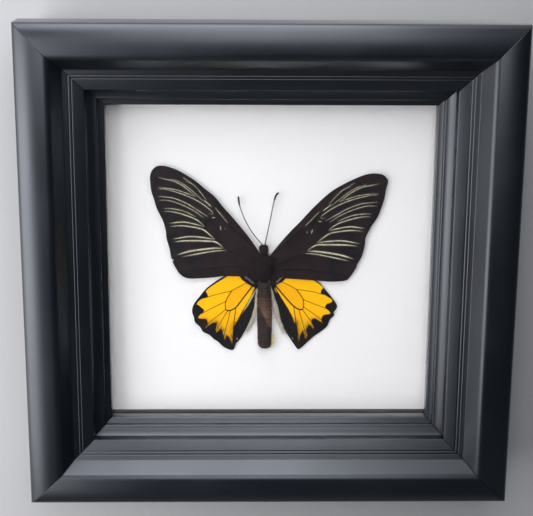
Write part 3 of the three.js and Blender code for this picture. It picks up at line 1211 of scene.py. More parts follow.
class Forewing(Wing):
    """A black-brown forewing with cream lines on both sides of its outer veins."""

    def strokes(self) -> tuple[Stroke, ...]:
        """The veins and the cream lines."""
        return FOREWING_VEINS + FOREWING_CREAM

    def markings(self, flat: np.ndarray) -> dict[str, np.ndarray]:
        """Measures distances to the veins and to the cream lines, and how far out a place lies.

        Args:
            flat: Rows of x and z.

        Returns:
            The numbers that paint_dark_wing reads, by name.
        """
        vein = np.min([stroke.gap(flat, self.carry) for stroke in FOREWING_VEINS], axis=0)
        cream = np.min([stroke.gap(flat, self.carry) for stroke in FOREWING_CREAM], axis=0)
        reach = np.hypot(flat[:, 0] - BODY_X, flat[:, 1])
        # outer rises from the wing's root to its tip; paint_dark_wing uses it for the painted reflection of
        # the sky
        return {"vein": vein, "cream": cream, "outer": soft_step(reach, 26, 44)}

    def relief(self, flat: np.ndarray, marks: dict[str, np.ndarray]) -> np.ndarray:
        """Raises the veins, with the membrane sagging between them.

        Args:
            flat: Rows of x and z.
            marks: The wing's markings.

        Returns:
            A height in millimetres for each row.
        """
        away = np.maximum(marks["vein"], 0)
        ridge = np.exp(-((away / 0.35) ** 2)) * 0.08 + np.exp(-away / 2.4) * 0.1
        return ridge + waves(flat, 11, 26.0, 0.16)


@dataclass(frozen=True)
class GoldPattern:
    """The markings of a hindwing, in millimetres."""

    patch: tuple[Point, ...]
    cell: tuple[Point, ...]
    veins: tuple[Stroke, ...]
    streak: Stroke
    spot: Stroke


THIN = 0.36
LEFT_GOLD = GoldPattern(
    patch=(
        (-17.8, -10.1), (-16.1, -12.1), (-13.9, -13.8), (-10.9, -15.8), (-8.9, -16.7), (-10.6, -21.0),
        (-13.6, -26.7), (-16.6, -31.9), (-18.5, -36.1), (-20.5, -40.0), (-21.6, -41.9), (-21.9, -45.6),
        (-22.3, -52.3), (-23.5, -49.0), (-24.8, -47.2), (-25.8, -47.7), (-26.7, -50.1), (-27.4, -47.2),
        (-27.9, -44.0), (-29.0, -42.4), (-30.5, -43.7), (-32.1, -45.5), (-32.3, -43.5), (-31.4, -40.0),
        (-31.8, -38.5), (-34.0, -38.8), (-36.0, -40.3), (-38.2, -42.0), (-37.0, -38.5), (-37.4, -36.9),
        (-38.2, -36.1), (-40.5, -36.2), (-42.6, -35.5), (-41.0, -33.2), (-39.1, -31.8), (-38.9, -30.8),
        (-39.7, -29.8), (-42.2, -27.7), (-43.4, -27.0), (-42.4, -25.4), (-40.9, -24.1), (-38.4, -23.0),
        (-36.7, -22.3), (-36.8, -21.0), (-37.9, -18.9), (-35.2, -16.4), (-32.2, -14.3), (-29.3, -12.4),
        (-25.4, -9.9), (-20.6, -7.7),
    ),
    cell=(
        (-10.4, -16.0), (-15.6, -23.1), (-19.8, -28.8), (-23.3, -30.9), (-25.3, -30.9), (-26.2, -29.7),
        (-26.0, -25.1), (-22.5, -18.6), (-18.1, -16.1), (-13.6, -13.7),
    ),
    veins=(
        Stroke(((-25.3, -30.9), (-26.2, -29.7), (-26.0, -25.1), (-22.5, -18.6)), 0.5, 0),
        Stroke(((-22.5, -18.6), (-18.1, -16.1), (-13.6, -13.7)), THIN, 0),
        Stroke(((-22.5, -18.7), (-29.0, -20.2), (-36.4, -22.4), (-38.7, -23.1)), THIN, 0),
        Stroke(((-26.0, -25.2), (-31.5, -28.0), (-38.5, -31.8), (-40.5, -33.0)), THIN, 0),
        Stroke(((-26.2, -30.4), (-32.5, -35.6), (-37.0, -39.3), (-39.5, -41.9)), THIN, 0),
        Stroke(((-24.9, -31.1), (-28.5, -37.2), (-31.8, -43.4), (-33.5, -46.6)), THIN, 0),
        Stroke(((-23.3, -31.0), (-24.9, -37.7), (-27.0, -46.1), (-28.0, -49.8)), THIN, 0),
        Stroke(((-19.9, -28.9), (-20.8, -35.1), (-21.4, -41.9), (-21.6, -47.2)), 0.45, 0),
        Stroke(((-9.6, -14.9), (-15.6, -23.1), (-19.8, -28.8), (-23.3, -30.9), (-25.3, -30.9)), 0.8, 0),
    ),
    streak=Stroke(((-7.4, -16.4), (-9.7, -21.0), (-12.7, -26.8), (-16.6, -33.4)), 0.95, 0.4),
    spot=Stroke(((-19.5, -47.8), (-19.0, -49.8)), 0.6, 0.3),
)
RIGHT_GOLD = GoldPattern(
    patch=(
        (4.2, -15.0), (5.4, -14.2), (7.7, -13.1), (9.2, -11.3), (10.7, -10.4), (14.7, -9.6),
        (20.0, -9.8), (24.1, -11.4), (27.1, -12.8), (30.1, -15.0), (32.1, -16.8), (31.1, -17.9),
        (30.5, -19.7), (30.9, -20.5), (33.2, -21.4), (35.8, -23.0), (37.6, -24.6), (36.9, -25.9),
        (34.4, -26.8), (33.3, -28.2), (33.6, -29.5), (35.5, -31.1), (36.7, -32.4), (36.0, -33.1),
        (33.4, -33.5), (31.9, -34.2), (31.4, -35.8), (31.1, -36.7), (32.5, -39.2), (30.1, -37.8),
        (28.8, -36.5), (27.1, -35.8), (25.4, -36.5), (25.2, -37.6), (26.7, -41.2), (27.0, -43.0),
        (25.0, -41.2), (23.7, -40.3), (22.7, -42.5), (22.5, -44.8), (23.2, -47.7), (21.9, -48.7),
        (20.8, -45.7), (19.9, -43.9), (18.6, -47.1), (17.7, -51.2), (17.1, -48.4), (17.1, -43.9),
        (16.2, -38.5), (15.3, -35.4), (15.8, -39.8), (14.6, -37.1), (13.4, -34.0), (11.6, -30.4),
        (9.2, -26.4), (7.3, -23.3), (5.5, -20.1), (3.8, -17.5), (3.6, -16.6),
    ),
    cell=(
        (3.8, -15.7), (8.1, -21.0), (11.9, -25.5), (14.5, -28.2), (17.6, -30.2), (19.7, -30.2),
        (20.4, -28.8), (20.0, -23.7), (16.1, -17.9), (11.8, -15.2), (7.7, -13.4),
    ),
    veins=(
        Stroke(((19.7, -30.2), (20.4, -28.8), (20.0, -23.7), (16.1, -17.9)), 0.5, 0),
        Stroke(((16.1, -17.9), (11.8, -15.2), (7.7, -13.4)), THIN, 0),
        Stroke(((16.1, -17.8), (24.7, -19.0), (30.2, -20.4), (31.9, -20.9)), THIN, 0),
        Stroke(((20.0, -23.9), (25.6, -26.4), (33.4, -29.4), (34.8, -30.1)), THIN, 0),
        Stroke(((20.4, -28.8), (25.3, -32.2), (31.0, -36.6), (32.0, -38.0)), THIN, 0),
        Stroke(((19.7, -30.4), (23.2, -35.3), (27.1, -41.2)), THIN, 0),
        Stroke(((17.6, -30.4), (19.4, -36.7), (21.6, -44.8), (22.4, -48.2)), THIN, 0),
        Stroke(((14.5, -28.4), (15.5, -34.9), (16.9, -43.9), (17.1, -48.4)), 0.45, 0),
        Stroke(((3.2, -15.0), (8.1, -21.0), (11.9, -25.5), (14.5, -28.2), (17.6, -30.2), (19.7, -30.2)),
               0.8, 0),
    ),
    streak=Stroke(((2.6, -16.6), (3.4, -18.2), (4.4, -20.4)), 0.5, 0.5),
    spot=Stroke(((13.7, -47.8), (14.3, -49.4)), 0.6, 0.3),
)


@dataclass
class Hindwing(Wing):
    """A golden hindwing with black veins, a scalloped black border and a black hind margin."""

    pattern: GoldPattern = LEFT_GOLD

    def strokes(self) -> tuple[Stroke, ...]:
        """The veins."""
        return self.pattern.veins

    def markings(self, flat: np.ndarray) -> dict[str, np.ndarray]:
        """Measures distances to the golden patch, the veins and the small marks, and the deeper tones.

        Args:
            flat: Rows of x and z.

        Returns:
            The numbers that paint_gold_wing reads, by name.
        """
        gold = self.border(flat, self.pattern.patch)
        low = soft_step(-(flat[:, 1] + 33.0), 0, 7)
        root = np.exp(-((np.hypot(flat[:, 0] - BODY_X, flat[:, 1] + 13.0) / 8.0) ** 4))
        smoke = np.maximum(low * np.exp(np.minimum(gold, 0) / 1.7), root * 0.8)
        lower = soft_step(-(flat[:, 1] + 28.0), 0, 9) * 0.35
        cell = soft_step(-self.border(flat, self.pattern.cell), -1.2, 0.8) * 0.45
        return {
            "gold": gold,
            "amber": np.clip(cell + lower, 0, 1),
            "vein": np.min([stroke.gap(flat, self.carry) for stroke in self.pattern.veins], axis=0),
            "smoke": smoke,
            "cream": self.pattern.streak.gap(flat, self.carry),
            "pink": self.pattern.spot.gap(flat, self.carry),
        }

    def border(self, flat: np.ndarray, outline: Sequence[Point]) -> np.ndarray:
        """Measures the distance to a closed outline whose corners are only half rounded.

        Args:
            flat: Rows of x and z.
            outline: The outline's corners.

        Returns:
            A distance in millimetres for each row, below 0 inside the outline.
        """
        given = np.array(outline, float)
        rows = []
        for start, end in zip(given, np.roll(given, -1, axis=0)):
            count = max(1, math.ceil(np.linalg.norm(end - start) / 0.5))
            rows.append(start + (end - start) * np.arange(count)[:, None] / count)
        edge = np.vstack(rows) * 0.6 + spline(outline, 0.5, closed=True) * 0.4
        away, _ = nearest(flat, np.vstack([edge, edge[:1]]))
        return np.where(inside(flat, edge), -away, away)

    def relief(self, flat: np.ndarray, marks: dict[str, np.ndarray]) -> np.ndarray:
        """Raises the veins on a slightly waved wing.

        Args:
            flat: Rows of x and z.
            marks: The wing's markings.

        Returns:
            A height in millimetres for each row.
        """
        away = np.maximum(marks["vein"], 0)
        ridge = np.exp(-((away / 0.3) ** 2)) * 0.08 + np.exp(-away / 1.8) * 0.08
        return ridge + waves(flat, 23, 22.0, 0.12)


FOREWING_LEFT = (
    (-69.8, 51.5), (-68.4, 54.9), (-65.3, 57.0), (-61.2, 57.0), (-55.8, 55.4), (-50.8, 52.9),
    (-43.9, 48.5), (-37.9, 43.4), (-32.3, 38.8), (-27.8, 33.1), (-22.8, 27.4), (-17.2, 20.7),
    (-11.6, 13.4), (-7.0, 6.6), (-4.6, 2.0), (-4.2, -3.0), (-6.0, -8.0), (-16.6, -9.3), (-27.1, -9.3),
    (-33.6, -10.1), (-41.3, -10.7), (-48.4, -10.7), (-52.9, -8.3), (-55.4, -4.6), (-57.4, -0.4),
    (-56.6, 0.7), (-58.1, 1.7), (-59.1, 7.5), (-60.8, 13.8), (-61.2, 18.5), (-62.7, 24.3), (-64.4, 27.9),
    (-66.3, 32.0), (-67.7, 37.1), (-69.2, 41.8), (-69.9, 48.0),
)
FOREWING_RIGHT = (
    (-1.8, 0.6), (0.2, 3.6), (7.0, 12.3), (12.2, 18.3), (17.4, 23.7), (22.6, 29.6), (27.7, 35.0),
    (35.4, 42.0), (43.2, 46.8), (50.9, 50.5), (56.0, 52.4), (60.7, 53.0), (65.5, 52.2), (67.9, 50.0),
    (68.6, 48.0), (67.5, 43.1), (66.7, 37.8), (65.1, 32.4), (63.0, 26.6), (59.5, 21.1), (56.5, 14.5),
    (55.9, 9.1), (54.2, 2.5), (51.7, -2.1), (51.4, -3.8), (48.1, -9.1), (45.0, -12.0), (36.6, -12.7),
    (28.5, -12.1), (18.0, -11.2), (8.0, -10.4), (0.5, -9.0), (-1.8, -4.5),
)
HINDWING_LEFT = (
    (-27.2, -9.7), (-32.3, -13.0), (-37.7, -17.4), (-41.4, -22.0), (-45.0, -26.9), (-46.2, -31.4),
    (-45.1, -35.2), (-44.5, -38.3), (-41.5, -41.3), (-39.6, -44.4), (-36.0, -46.3), (-33.2, -49.0),
    (-30.9, -50.5), (-27.3, -54.0), (-22.9, -55.9), (-21.1, -55.2), (-19.9, -51.7), (-17.8, -49.4),
    (-14.2, -43.2), (-11.3, -36.7), (-9.5, -31.0), (-8.2, -25.0), (-7.4, -19.0), (-6.4, -13.0),
    (-6.2, -7.0), (-10.0, -3.8), (-18.0, -4.6),
)
HINDWING_RIGHT = (
    (0.0, -7.0), (4.5, -4.8), (11.0, -6.0), (17.5, -8.2), (24.9, -11.7), (28.6, -12.9), (32.2, -16.6),
    (36.0, -21.2), (39.6, -26.1), (40.5, -28.7), (39.3, -31.0), (38.5, -32.2), (38.8, -34.1),
    (36.3, -36.7), (34.9, -40.6), (33.1, -42.5), (30.2, -44.8), (26.2, -47.8), (22.2, -51.7),
    (19.4, -54.4), (17.5, -55.4), (16.1, -54.0), (12.0, -47.8), (9.0, -43.6), (7.2, -39.1), (5.3, -29.1),
    (3.3, -23.4), (2.0, -18.9), (0.2, -13.0),
)
FORE_CARRY = Carry((-6.0, 3.0), ((-1.0198, 0.0666), (0.0269, 0.984)), (0.0, 1.85))


# ---- hair ----------------------------------------------------------------------------------------


@dataclass
class Coat:
    """A coat of separate hairs, each a thin closed spike that bends as it grows."""

    name: str
    seed: int
    radius: float  # at the root, in millimetres
    sides: int = 3
    steps: int = 3

    def build(
        self, roots: np.ndarray, ways: np.ndarray, lengths: np.ndarray, droop: np.ndarray,
        material: Material,
    ) -> Piece:
        """Grows the hairs.

        Args:
            roots: Where each hair starts, in metres.
            ways: The unit direction that each hair starts in.
            lengths: The length of each hair, in millimetres.
            droop: The way that each hair bends, added in full at its tip, as a share of its length.
            material: The finish.

        Returns:
            The coat.
        """
        draws = np.random.default_rng(self.seed)
        count = len(roots)
        across = unit(np.cross(ways, draws.normal(size=(count, 3))))
        third = np.cross(ways, across)
        long = (lengths * MM)[:, None]
        rings = []
        for step in range(self.steps):
            t = step / self.steps
            centre = roots + (ways * t + droop * t * t) * long
            thick = self.radius * MM * (1 - 0.75 * t)
            for side in range(self.sides):
                turn = 2 * math.pi * side / self.sides
                rings.append(centre + thick * (math.cos(turn) * across + math.sin(turn) * third))
        rings.append(roots + (ways + droop) * long)
        each = self.steps * self.sides + 1
        rows = np.stack(rings, axis=1).reshape(-1, 3)
        pattern = [tuple(range(self.sides))[::-1], *tube_faces(self.steps, self.sides)]
        last = (self.steps - 1) * self.sides
        pattern += [(last + side, last + (side + 1) % self.sides, each - 1) for side in range(self.sides)]
        starts = range(0, count * each, each)
        faces = [tuple(start + corner for corner in face) for start in starts for face in pattern]
        coat = new_piece(self.name, rows, faces)
        set_attribute(coat, "tone", np.repeat(draws.uniform(0, 1, count), each))
        pick(coat)
        bpy.ops.object.shade_smooth()
        return settle(coat, self.name, Slot.BODY, material)


# ---- the body ------------------------------------------------------------------------------------


@dataclass(frozen=True)
class Ring:
    """One cross-section of a body part, in millimetres."""

    z: float
    x: float
    half_width: float
    level: float  # depth of its middle from the frame's back plane
    half_depth: float


@dataclass
class BodyPart:
    """A closed part drawn out ring by ring from a disc, then smoothed."""

    name: str
    rings: tuple[Ring, ...]
    corners: int = 28

    def build(self) -> Piece:
        """Draws the part out along its length.

        Returns:
            The part, smooth but not yet dressed.
        """
        first = self.rings[0]
        deselect()
        bpy.ops.mesh.primitive_circle_add(
            vertices=self.corners, radius=MM, fill_type="NGON",
            location=(first.x * MM, depth(first.level), first.z * MM),
        )
        part = bpy.context.active_object
        bpy.ops.object.transform_apply(location=True, rotation=True, scale=True)
        with editing(part):
            centre = (first.x * MM, depth(first.level), first.z * MM)
            bpy.ops.transform.resize(
                value=(first.half_width, first.half_depth, 1), center_override=centre)
            for old, new in zip(self.rings, self.rings[1:]):
                centre = (new.x * MM, depth(new.level), new.z * MM)
                step = ((new.x - old.x) * MM, -(new.level - old.level) * MM, (new.z - old.z) * MM)
                bpy.ops.mesh.extrude_region_move(TRANSFORM_OT_translate={"value": step})
                bpy.ops.transform.resize(
                    value=(new.half_width / old.half_width, new.half_depth / old.half_depth, 1),
                    center_override=centre,
                )
            bpy.ops.mesh.select_all(action="SELECT")
            bpy.ops.mesh.normals_make_consistent(inside=False)
        apply_modifier(part, "SUBSURF", levels=2, render_levels=2)
        pick(part)
        bpy.ops.object.shade_smooth()
        return part


def rough(part: Piece, seed: int, height: float, size: float) -> None:
    """Gives a part a fine irregular surface by moving its vertices along their normals.

    Args:
        part: The part.
        seed: Start of the random draws.
        height: Height of the unevenness in millimetres.
        size: Size of its features in millimetres.
    """
    rows = places(part)
    normals = np.array([tuple(v.normal) for v in part.data.vertices])
    draws = np.random.default_rng(seed)
    lift = np.zeros(len(rows))
    for _ in range(14):
        way = draws.normal(size=3)
        way /= np.linalg.norm(way)
        run = size * draws.uniform(0.6, 1.8)
        lift += np.sin(rows @ way / MM * 2 * math.pi / run + draws.uniform(0, 6.28))
    move_to(part, rows + normals * (lift * height * MM / 5)[:, None])


def skin_marks(part: Piece, rubbed: np.ndarray | None = None, groove: np.ndarray | None = None) -> None:
    """Stores where a part's skin is rubbed pale and where it is grooved.

    Args:
        part: The part.
        rubbed: How rubbed each vertex is, from 0 to 1, or None for not at all.
        groove: How deep in a groove each vertex is, from 0 to 1, or None for not at all.
    """
    none = np.zeros(len(part.data.vertices))
    set_attribute(part, "rubbed", none if rubbed is None else rubbed)
    set_attribute(part, "groove", none if groove is None else groove)


@dataclass
class Insect:
    """The butterfly: body, wings and antennae."""

    skin: Material
    eye: Material
    dark_hair: Material
    grey_hair: Material
    cream_hair: Material
    dark_wing: Material
    gold_wing: Material
    horn: Material
    flesh: Material
    level: float = 11.9  # depth of the body's middle
    wing_levels: Point = (12.1, 11.0)  # depth of the forewings and of the hindwings
    thorax_ends: Point = (5.2, -12.2)
    thorax_half: Point = (4.2, 2.9)  # half width and half depth
    abdomen_root: Point = (BODY_X, -12.5)
    abdomen_tip: Point = (-2.6, -54.4)
    abdomen_widths: tuple[Point, ...] = (
        (0.0, 2.6), (0.05, 3.6), (0.2, 4.2), (0.45, 4.35), (0.7, 4.25), (0.86, 4.25), (0.94, 4.05),
        (0.98, 3.1), (1.0, 1.5),
    )  # half widths at shares of the length
    seams: tuple[float, ...] = (0.13, 0.27, 0.41, 0.55, 0.68, 0.79, 0.88)  # shares of the length
    feeler_level: float = 12.8
    thorax_hairs: int = 8000
    collar_hairs: int = 4200
    head_hairs: int = 1700
    abdomen_hairs: int = 1700
    tuft_hairs: int = 240

    def build(self) -> None:
        """Makes every part of the insect."""
        self.wings()
        self.thorax()
        self.head()
        self.abdomen()
        self.antennae()
        self.wool()

    def wings(self) -> None:
        """Makes the two pairs of wings."""
        fore_level, hind_level = self.wing_levels
        fore = {"left": (FOREWING_LEFT, Carry()), "right": (FOREWING_RIGHT, FORE_CARRY)}
        for side, (outline, carry) in fore.items():
            wing = Forewing(f"forewing_{side}_scaled", outline, carry, fore_level)
            wing.build(f"forewing_{side}", Slot.DARK_WING, self.dark_wing)
        hind = {"left": (HINDWING_LEFT, LEFT_GOLD), "right": (HINDWING_RIGHT, RIGHT_GOLD)}
        for side, (outline, pattern) in hind.items():
            wing = Hindwing(f"hindwing_{side}_scaled", outline, Carry(), hind_level, pattern=pattern)
            wing.build(f"hindwing_{side}", Slot.GOLD_WING, self.gold_wing)

    def thorax(self) -> None:
        """A broad dome, flattened on the board, covered in short hair."""
        top, bottom = self.thorax_ends
        half_width, half_depth = self.thorax_half
        rings = []
        for t in np.linspace(0.02, 0.98, 15):
            round_off = max(math.sin(math.pi * t), 0.02)
            rings.append(Ring(
                z=top - (top - bottom) * t, x=BODY_X, half_width=half_width * round_off**0.5,
                level=self.level, half_depth=half_depth * round_off**0.6,
            ))
        part = BodyPart("thorax_shape", tuple(rings)).build()
        rough(part, 3, 0.16, 2.4)
        skin_marks(part)
        settle(part, "thorax_shape", Slot.BODY, self.skin, "thorax")
        self.fur(part, "thorax_hair", self.thorax_hairs, (0.9, 2.3), 5, lean=(0.0, 0.1, -1.9))
        self.collar()

    def collar(self) -> None:
        """Short hair that runs from the sides of the thorax out on to the roots of the wings."""
        draws = np.random.default_rng(41)
        count = self.collar_hairs
        side = draws.choice((-1.0, 1.0), count)
        off = 3.2 + np.abs(draws.normal(0, 2.0, count))
        z = draws.uniform(-11.0, 2.6, count)
        roots = np.column_stack([(BODY_X + side * off) * MM, np.full(count, depth(12.3)), z * MM])
        ways = unit(np.column_stack([
            side * 0.75, draws.uniform(-0.16, -0.02, count), draws.normal(-0.35, 0.35, count)]))
        droop = np.column_stack([np.zeros(count), np.full(count, 0.04), np.full(count, -0.3)])
        long = draws.uniform(0.7, 1.9, count)
        Coat("collar_hair", 43, 0.05).build(roots, ways, long, droop, self.dark_hair)

    def head(self) -> None:
        """A small square head covered in very short hair."""
        rings = (
            Ring(4.6, BODY_X - 0.1, 2.0, 12.4, 1.5), Ring(5.6, BODY_X - 0.25, 2.35, 12.6, 1.8),
            Ring(7.0, BODY_X - 0.4, 2.4, 12.75, 1.9), Ring(8.2, BODY_X - 0.45, 2.35, 12.75, 1.85),
            Ring(9.0, BODY_X - 0.5, 2.25, 12.75, 1.6), Ring(9.5, BODY_X - 0.5, 1.9, 12.75, 1.2),
            Ring(9.65, BODY_X - 0.5, 1.1, 12.75, 0.7),
        )
        part = BodyPart("head_shape", rings).build()
        rough(part, 4, 0.1, 1.4)
        skin_marks(part)
        settle(part, "head_shape", Slot.BODY, self.skin, "head")
        self.fur(part, "head_hair", self.head_hairs, (0.4, 0.9), 6, lean=(0.0, -0.1, -0.2))
        self.eyes()
        self.palps()

    def eyes(self) -> None:
        """Two smooth eyes that bulge at the sides of the head."""
        for name, side in (("eye_left", -1), ("eye_right", 1)):
            deselect()
            bpy.ops.mesh.primitive_uv_sphere_add(
                segments=28, ring_count=18, radius=MM,
                location=((BODY_X - 0.45 + side * 1.9) * MM, depth(12.9), 7.5 * MM), scale=(0.95, 1.2, 1.5),
            )
            eye = bpy.context.active_object
            bpy.ops.object.shade_smooth()
            skin_marks(eye)
            settle(eye, name, Slot.BODY, self.eye)

    def palps(self) -> None:
        """Two short blunt palps in front of the head."""
        for name, side in (("palp_left", -1), ("palp_right", 1)):
            rings = tuple(
                Ring(
                    z=8.9 + 1.2 * t, x=BODY_X - 0.5 + side * (1.35 + 0.25 * t),
                    half_width=0.55 * (1 - 0.45 * t), level=13.2, half_depth=0.6 * (1 - 0.4 * t),
                )
                for t in (0, 0.15, 0.5, 0.85, 1)
            )
            palp = BodyPart(name, rings, 12).build()
            skin_marks(palp)
            settle(palp, name, Slot.BODY, self.skin)

    def abdomen(self) -> None:
        """A parallel-sided, segmented abdomen with a blunt tip."""
        (root_x, root_z), (tip_x, tip_z) = self.abdomen_root, self.abdomen_tip
        rings = []
        for t in np.linspace(0, 1, 58):
            half = float(np.interp(t, *zip(*self.abdomen_widths)))
            dent = sum(math.exp(-(((t - seam) / 0.008) ** 2)) for seam in self.seams)
            swell = sum(math.exp(-(((t - seam - 0.05) / 0.05) ** 2)) for seam in self.seams)
            half *= 1 - 0.05 * dent + 0.012 * swell
            rings.append(Ring(
                z=root_z + (tip_z - root_z) * t, x=root_x + (tip_x - root_x) * t,
                half_width=half, level=self.level, half_depth=min(half * 0.69, 2.85),
            ))
        part = BodyPart("abdomen_shape", tuple(rings), 32).build()
        rows = places(part)
        t = (rows[:, 2] / MM - root_z) / (tip_z - root_z)
        lean = rows[:, 0] / MM - (root_x + (tip_x - root_x) * t)
        groove = np.max([np.exp(-(((t - seam) / 0.01) ** 2)) for seam in self.seams], axis=0) * 0.7
        upper = soft_step(t, 0.2, 0.27) * (1 - soft_step(t, 0.36, 0.4)) * 0.5
        lower = soft_step(t, 0.36, 0.4) * (1 - soft_step(t, 0.64, 0.72))
        lower *= soft_step(lean + 2.4 - 18 * (t - 0.39), -0.6, 0.6)
        band = np.maximum(upper, lower)
        rough(part, 7, 0.14, 1.3)
        skin_marks(part, rubbed=np.clip(band, 0, 1) * 0.9, groove=groove)
        settle(part, "abdomen_shape", Slot.BODY, self.skin, "abdomen")
        self.fur(part, "abdomen_hair", self.abdomen_hairs, (0.4, 1.0), 8, lean=(0.0, 0.0, -1.5))
        self.torn_tip()

    def torn_tip(self) -> None:
        """Pale dried flesh that shows where the tip of the abdomen is torn at its right side."""
        spots = (
            (1.4, -45.0, 0.5), (1.8, -45.9, 0.55), (1.3, -46.8, 0.45), (1.6, -48.0, 0.7), (2.3, -48.7, 0.6),
            (1.9, -49.8, 0.75), (1.2, -50.4, 0.6), (2.1, -51.2, 0.55), (1.2, -51.9, 0.5), (1.7, -52.6, 0.4),
        )
        lumps = []
        for number, (x, z, size) in enumerate(spots):
            deselect()
            bpy.ops.mesh.primitive_ico_sphere_add(
                subdivisions=4, radius=size * MM, location=(x * MM, depth(12.6), z * MM),
                scale=(1.2, 0.7, 0.9), rotation=(0, 1.3 * number, 0),
            )
            lump = bpy.context.active_object
            bpy.ops.object.transform_apply(location=True, rotation=True, scale=True)
            rough(lump, 60 + number, 0.2, 0.7)
            lumps.append(lump)
        deselect()
        for lump in lumps:
            lump.select_set(True)
        bpy.context.view_layer.objects.active = lumps[0]
        bpy.ops.object.join()
        flesh = bpy.context.active_object
        bpy.ops.object.shade_smooth()
        settle(flesh, "torn_flesh", Slot.BODY, self.flesh)

    def fur(self, part: Piece, name: str, count: int, lengths: Point, seed: int, lean: Triple) -> None:
        """Covers the front and sides of a part with short hair.

        Args:
            part: The part that the hair grows on.
            name: The coat's name.
            count: Number of hairs.
            lengths: Shortest and longest hair in millimetres.
            seed: Start of the random draws.
            lean: The way that the hairs lie, added to the surface's own direction.
        """
        draws = np.random.default_rng(seed)
        rows = places(part)
        normals = np.array([tuple(v.normal) for v in part.data.vertices])
        open_rows = np.flatnonzero(normals[:, 1] < 0.35)
        chosen = draws.choice(open_rows, count)
        ways = unit(normals[chosen] + np.array(lean) + draws.normal(0, 0.3, (count, 3)))
        roots = rows[chosen] + draws.normal(0, 0.12 * MM, (count, 3)) - normals[chosen] * 0.1 * MM
        long = draws.uniform(*lengths, count)
        room = (self.ceiling() - (BACK_PLANE - roots[:, 1]) / MM) / np.maximum(-ways[:, 1], 0.05)
        long = np.clip(long, 0.2, np.maximum(room, 0.2))
        droop = np.tile(np.array(lean) * 0.25, (count, 1))
        Coat(name, seed + 50, 0.055).build(roots, ways, long, droop, self.dark_hair)

    @staticmethod
    def ceiling() -> float:
        """How far forward hair may reach before it meets the glass, as a depth."""
        return (BACK_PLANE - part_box("glass_pane")[1].y) / MM - 0.15

    def antennae(self) -> None:
        """Two fine ringed antennae that end in long, slightly thicker clubs."""
        paths = {
            "antenna_left": (
                (-4.6, 10.4), (-8.2, 14.6), (-12.0, 20.0), (-15.6, 27.2), (-17.9, 34.0), (-18.7, 39.3),
            ),
            "antenna_right": (
                (-2.9, 10.4), (-1.6, 17.0), (0.2, 26.0), (2.0, 35.6), (3.4, 40.0), (4.9, 41.5),
            ),
        }
        for name, points in paths.items():
            line = spline(points, 0.22)
            run = np.concatenate([[0], np.cumsum(np.linalg.norm(np.diff(line, axis=0), axis=1))])
            share = run / run[-1]
            stalk = 0.27 + 0.03 * np.sin(run * 2 * math.pi / 0.55)
            club = 0.32 * soft_step(share, 0.8, 0.9) * (1 - soft_step(share, 0.985, 1.0) * 0.8)
            foot = 0.22 * (1 - soft_step(share, 0.0, 0.02))
            self.feeler(name, line, stalk + club + foot)

    def feeler(self, name: str, line: np.ndarray, radii: np.ndarray) -> None:
        """Makes one antenna as a tube of changing thickness.

        Args:
            name: The CAD node that it replaces.
            line: Its middle line, rows of x and z in millimetres.
            radii: Its radius at each row.
        """
        sides = 10
        ahead = unit(np.gradient(line, axis=0))
        rows = []
        for (x, z), (way_x, way_z), radius in zip(line, ahead, radii):
            for side in range(sides):
                turn = 2 * math.pi * side / sides
                off = radius * math.cos(turn)
                level = depth(self.feeler_level + radius * math.sin(turn))
                rows.append(((x + way_z * off) * MM, level, (z - way_x * off) * MM))
        last = (len(line) - 1) * sides
        ends = [tuple(range(sides))[::-1], tuple(range(last, last + sides))]
        faces = tube_faces(len(line), sides) + ends
        piece = new_piece(name, np.array(rows), faces)
        with editing(piece):
            bpy.ops.mesh.normals_make_consistent(inside=False)
        pick(piece)
        bpy.ops.object.shade_smooth()
        settle(piece, name + "_ringed", Slot.ANTENNA, self.horn, name)

    def wool(self) -> None:
        """Pale wool along the hind margins of the hindwings, with a few dark hairs in it."""
        draws = np.random.default_rng(31)
        margins = {
            "wool_left": (
                ((-7.7, -17.0), (-8.4, -26.0), (-9.8, -33.0), (-12.6, -40.5), (-15.0, -44.6)), 1.0, 2200,
            ),
            "wool_right": (
                ((1.0, -17.0), (2.6, -23.3), (4.3, -28.3), (6.0, -34.5), (8.6, -41.5), (10.6, -45.0)),
                -1.0, 3200,
            ),
        }
        for name, (points, inward, count) in margins.items():
            line = spline(points, 0.3)
            chosen = (draws.beta(1.0, 1.9, count) * len(line)).astype(int)
            spot = line[chosen] + draws.normal(0, 0.3, (count, 2)) + np.column_stack([
                inward * draws.uniform(0, 1.3, count) ** 2, np.zeros(count)])
            roots = np.column_stack([
                spot[:, 0] * MM, BACK_PLANE - draws.uniform(10.75, 11.15, count) * MM, spot[:, 1] * MM])
            ways = unit(np.column_stack([
                inward * draws.normal(0.12, 0.25, count), draws.normal(0.0, 0.04, count), -np.ones(count)]))
            long = draws.uniform(1.2, 5.5, count) * draws.uniform(0.5, 1.0, count)
            droop = np.column_stack([
                inward * draws.uniform(-0.15, 0.2, count), np.zeros(count), np.zeros(count)])
            pale = Coat(name, 33, 0.045, steps=4)
            pale.build(roots, ways, long, droop, self.cream_hair)
            few = chosen.size // 9
            dark = Coat(name + "_dark", 35, 0.05, steps=4)
            dark.build(roots[:few], ways[:few], long[:few] * 0.8, droop[:few], self.dark_hair)
        self.tufts(draws)

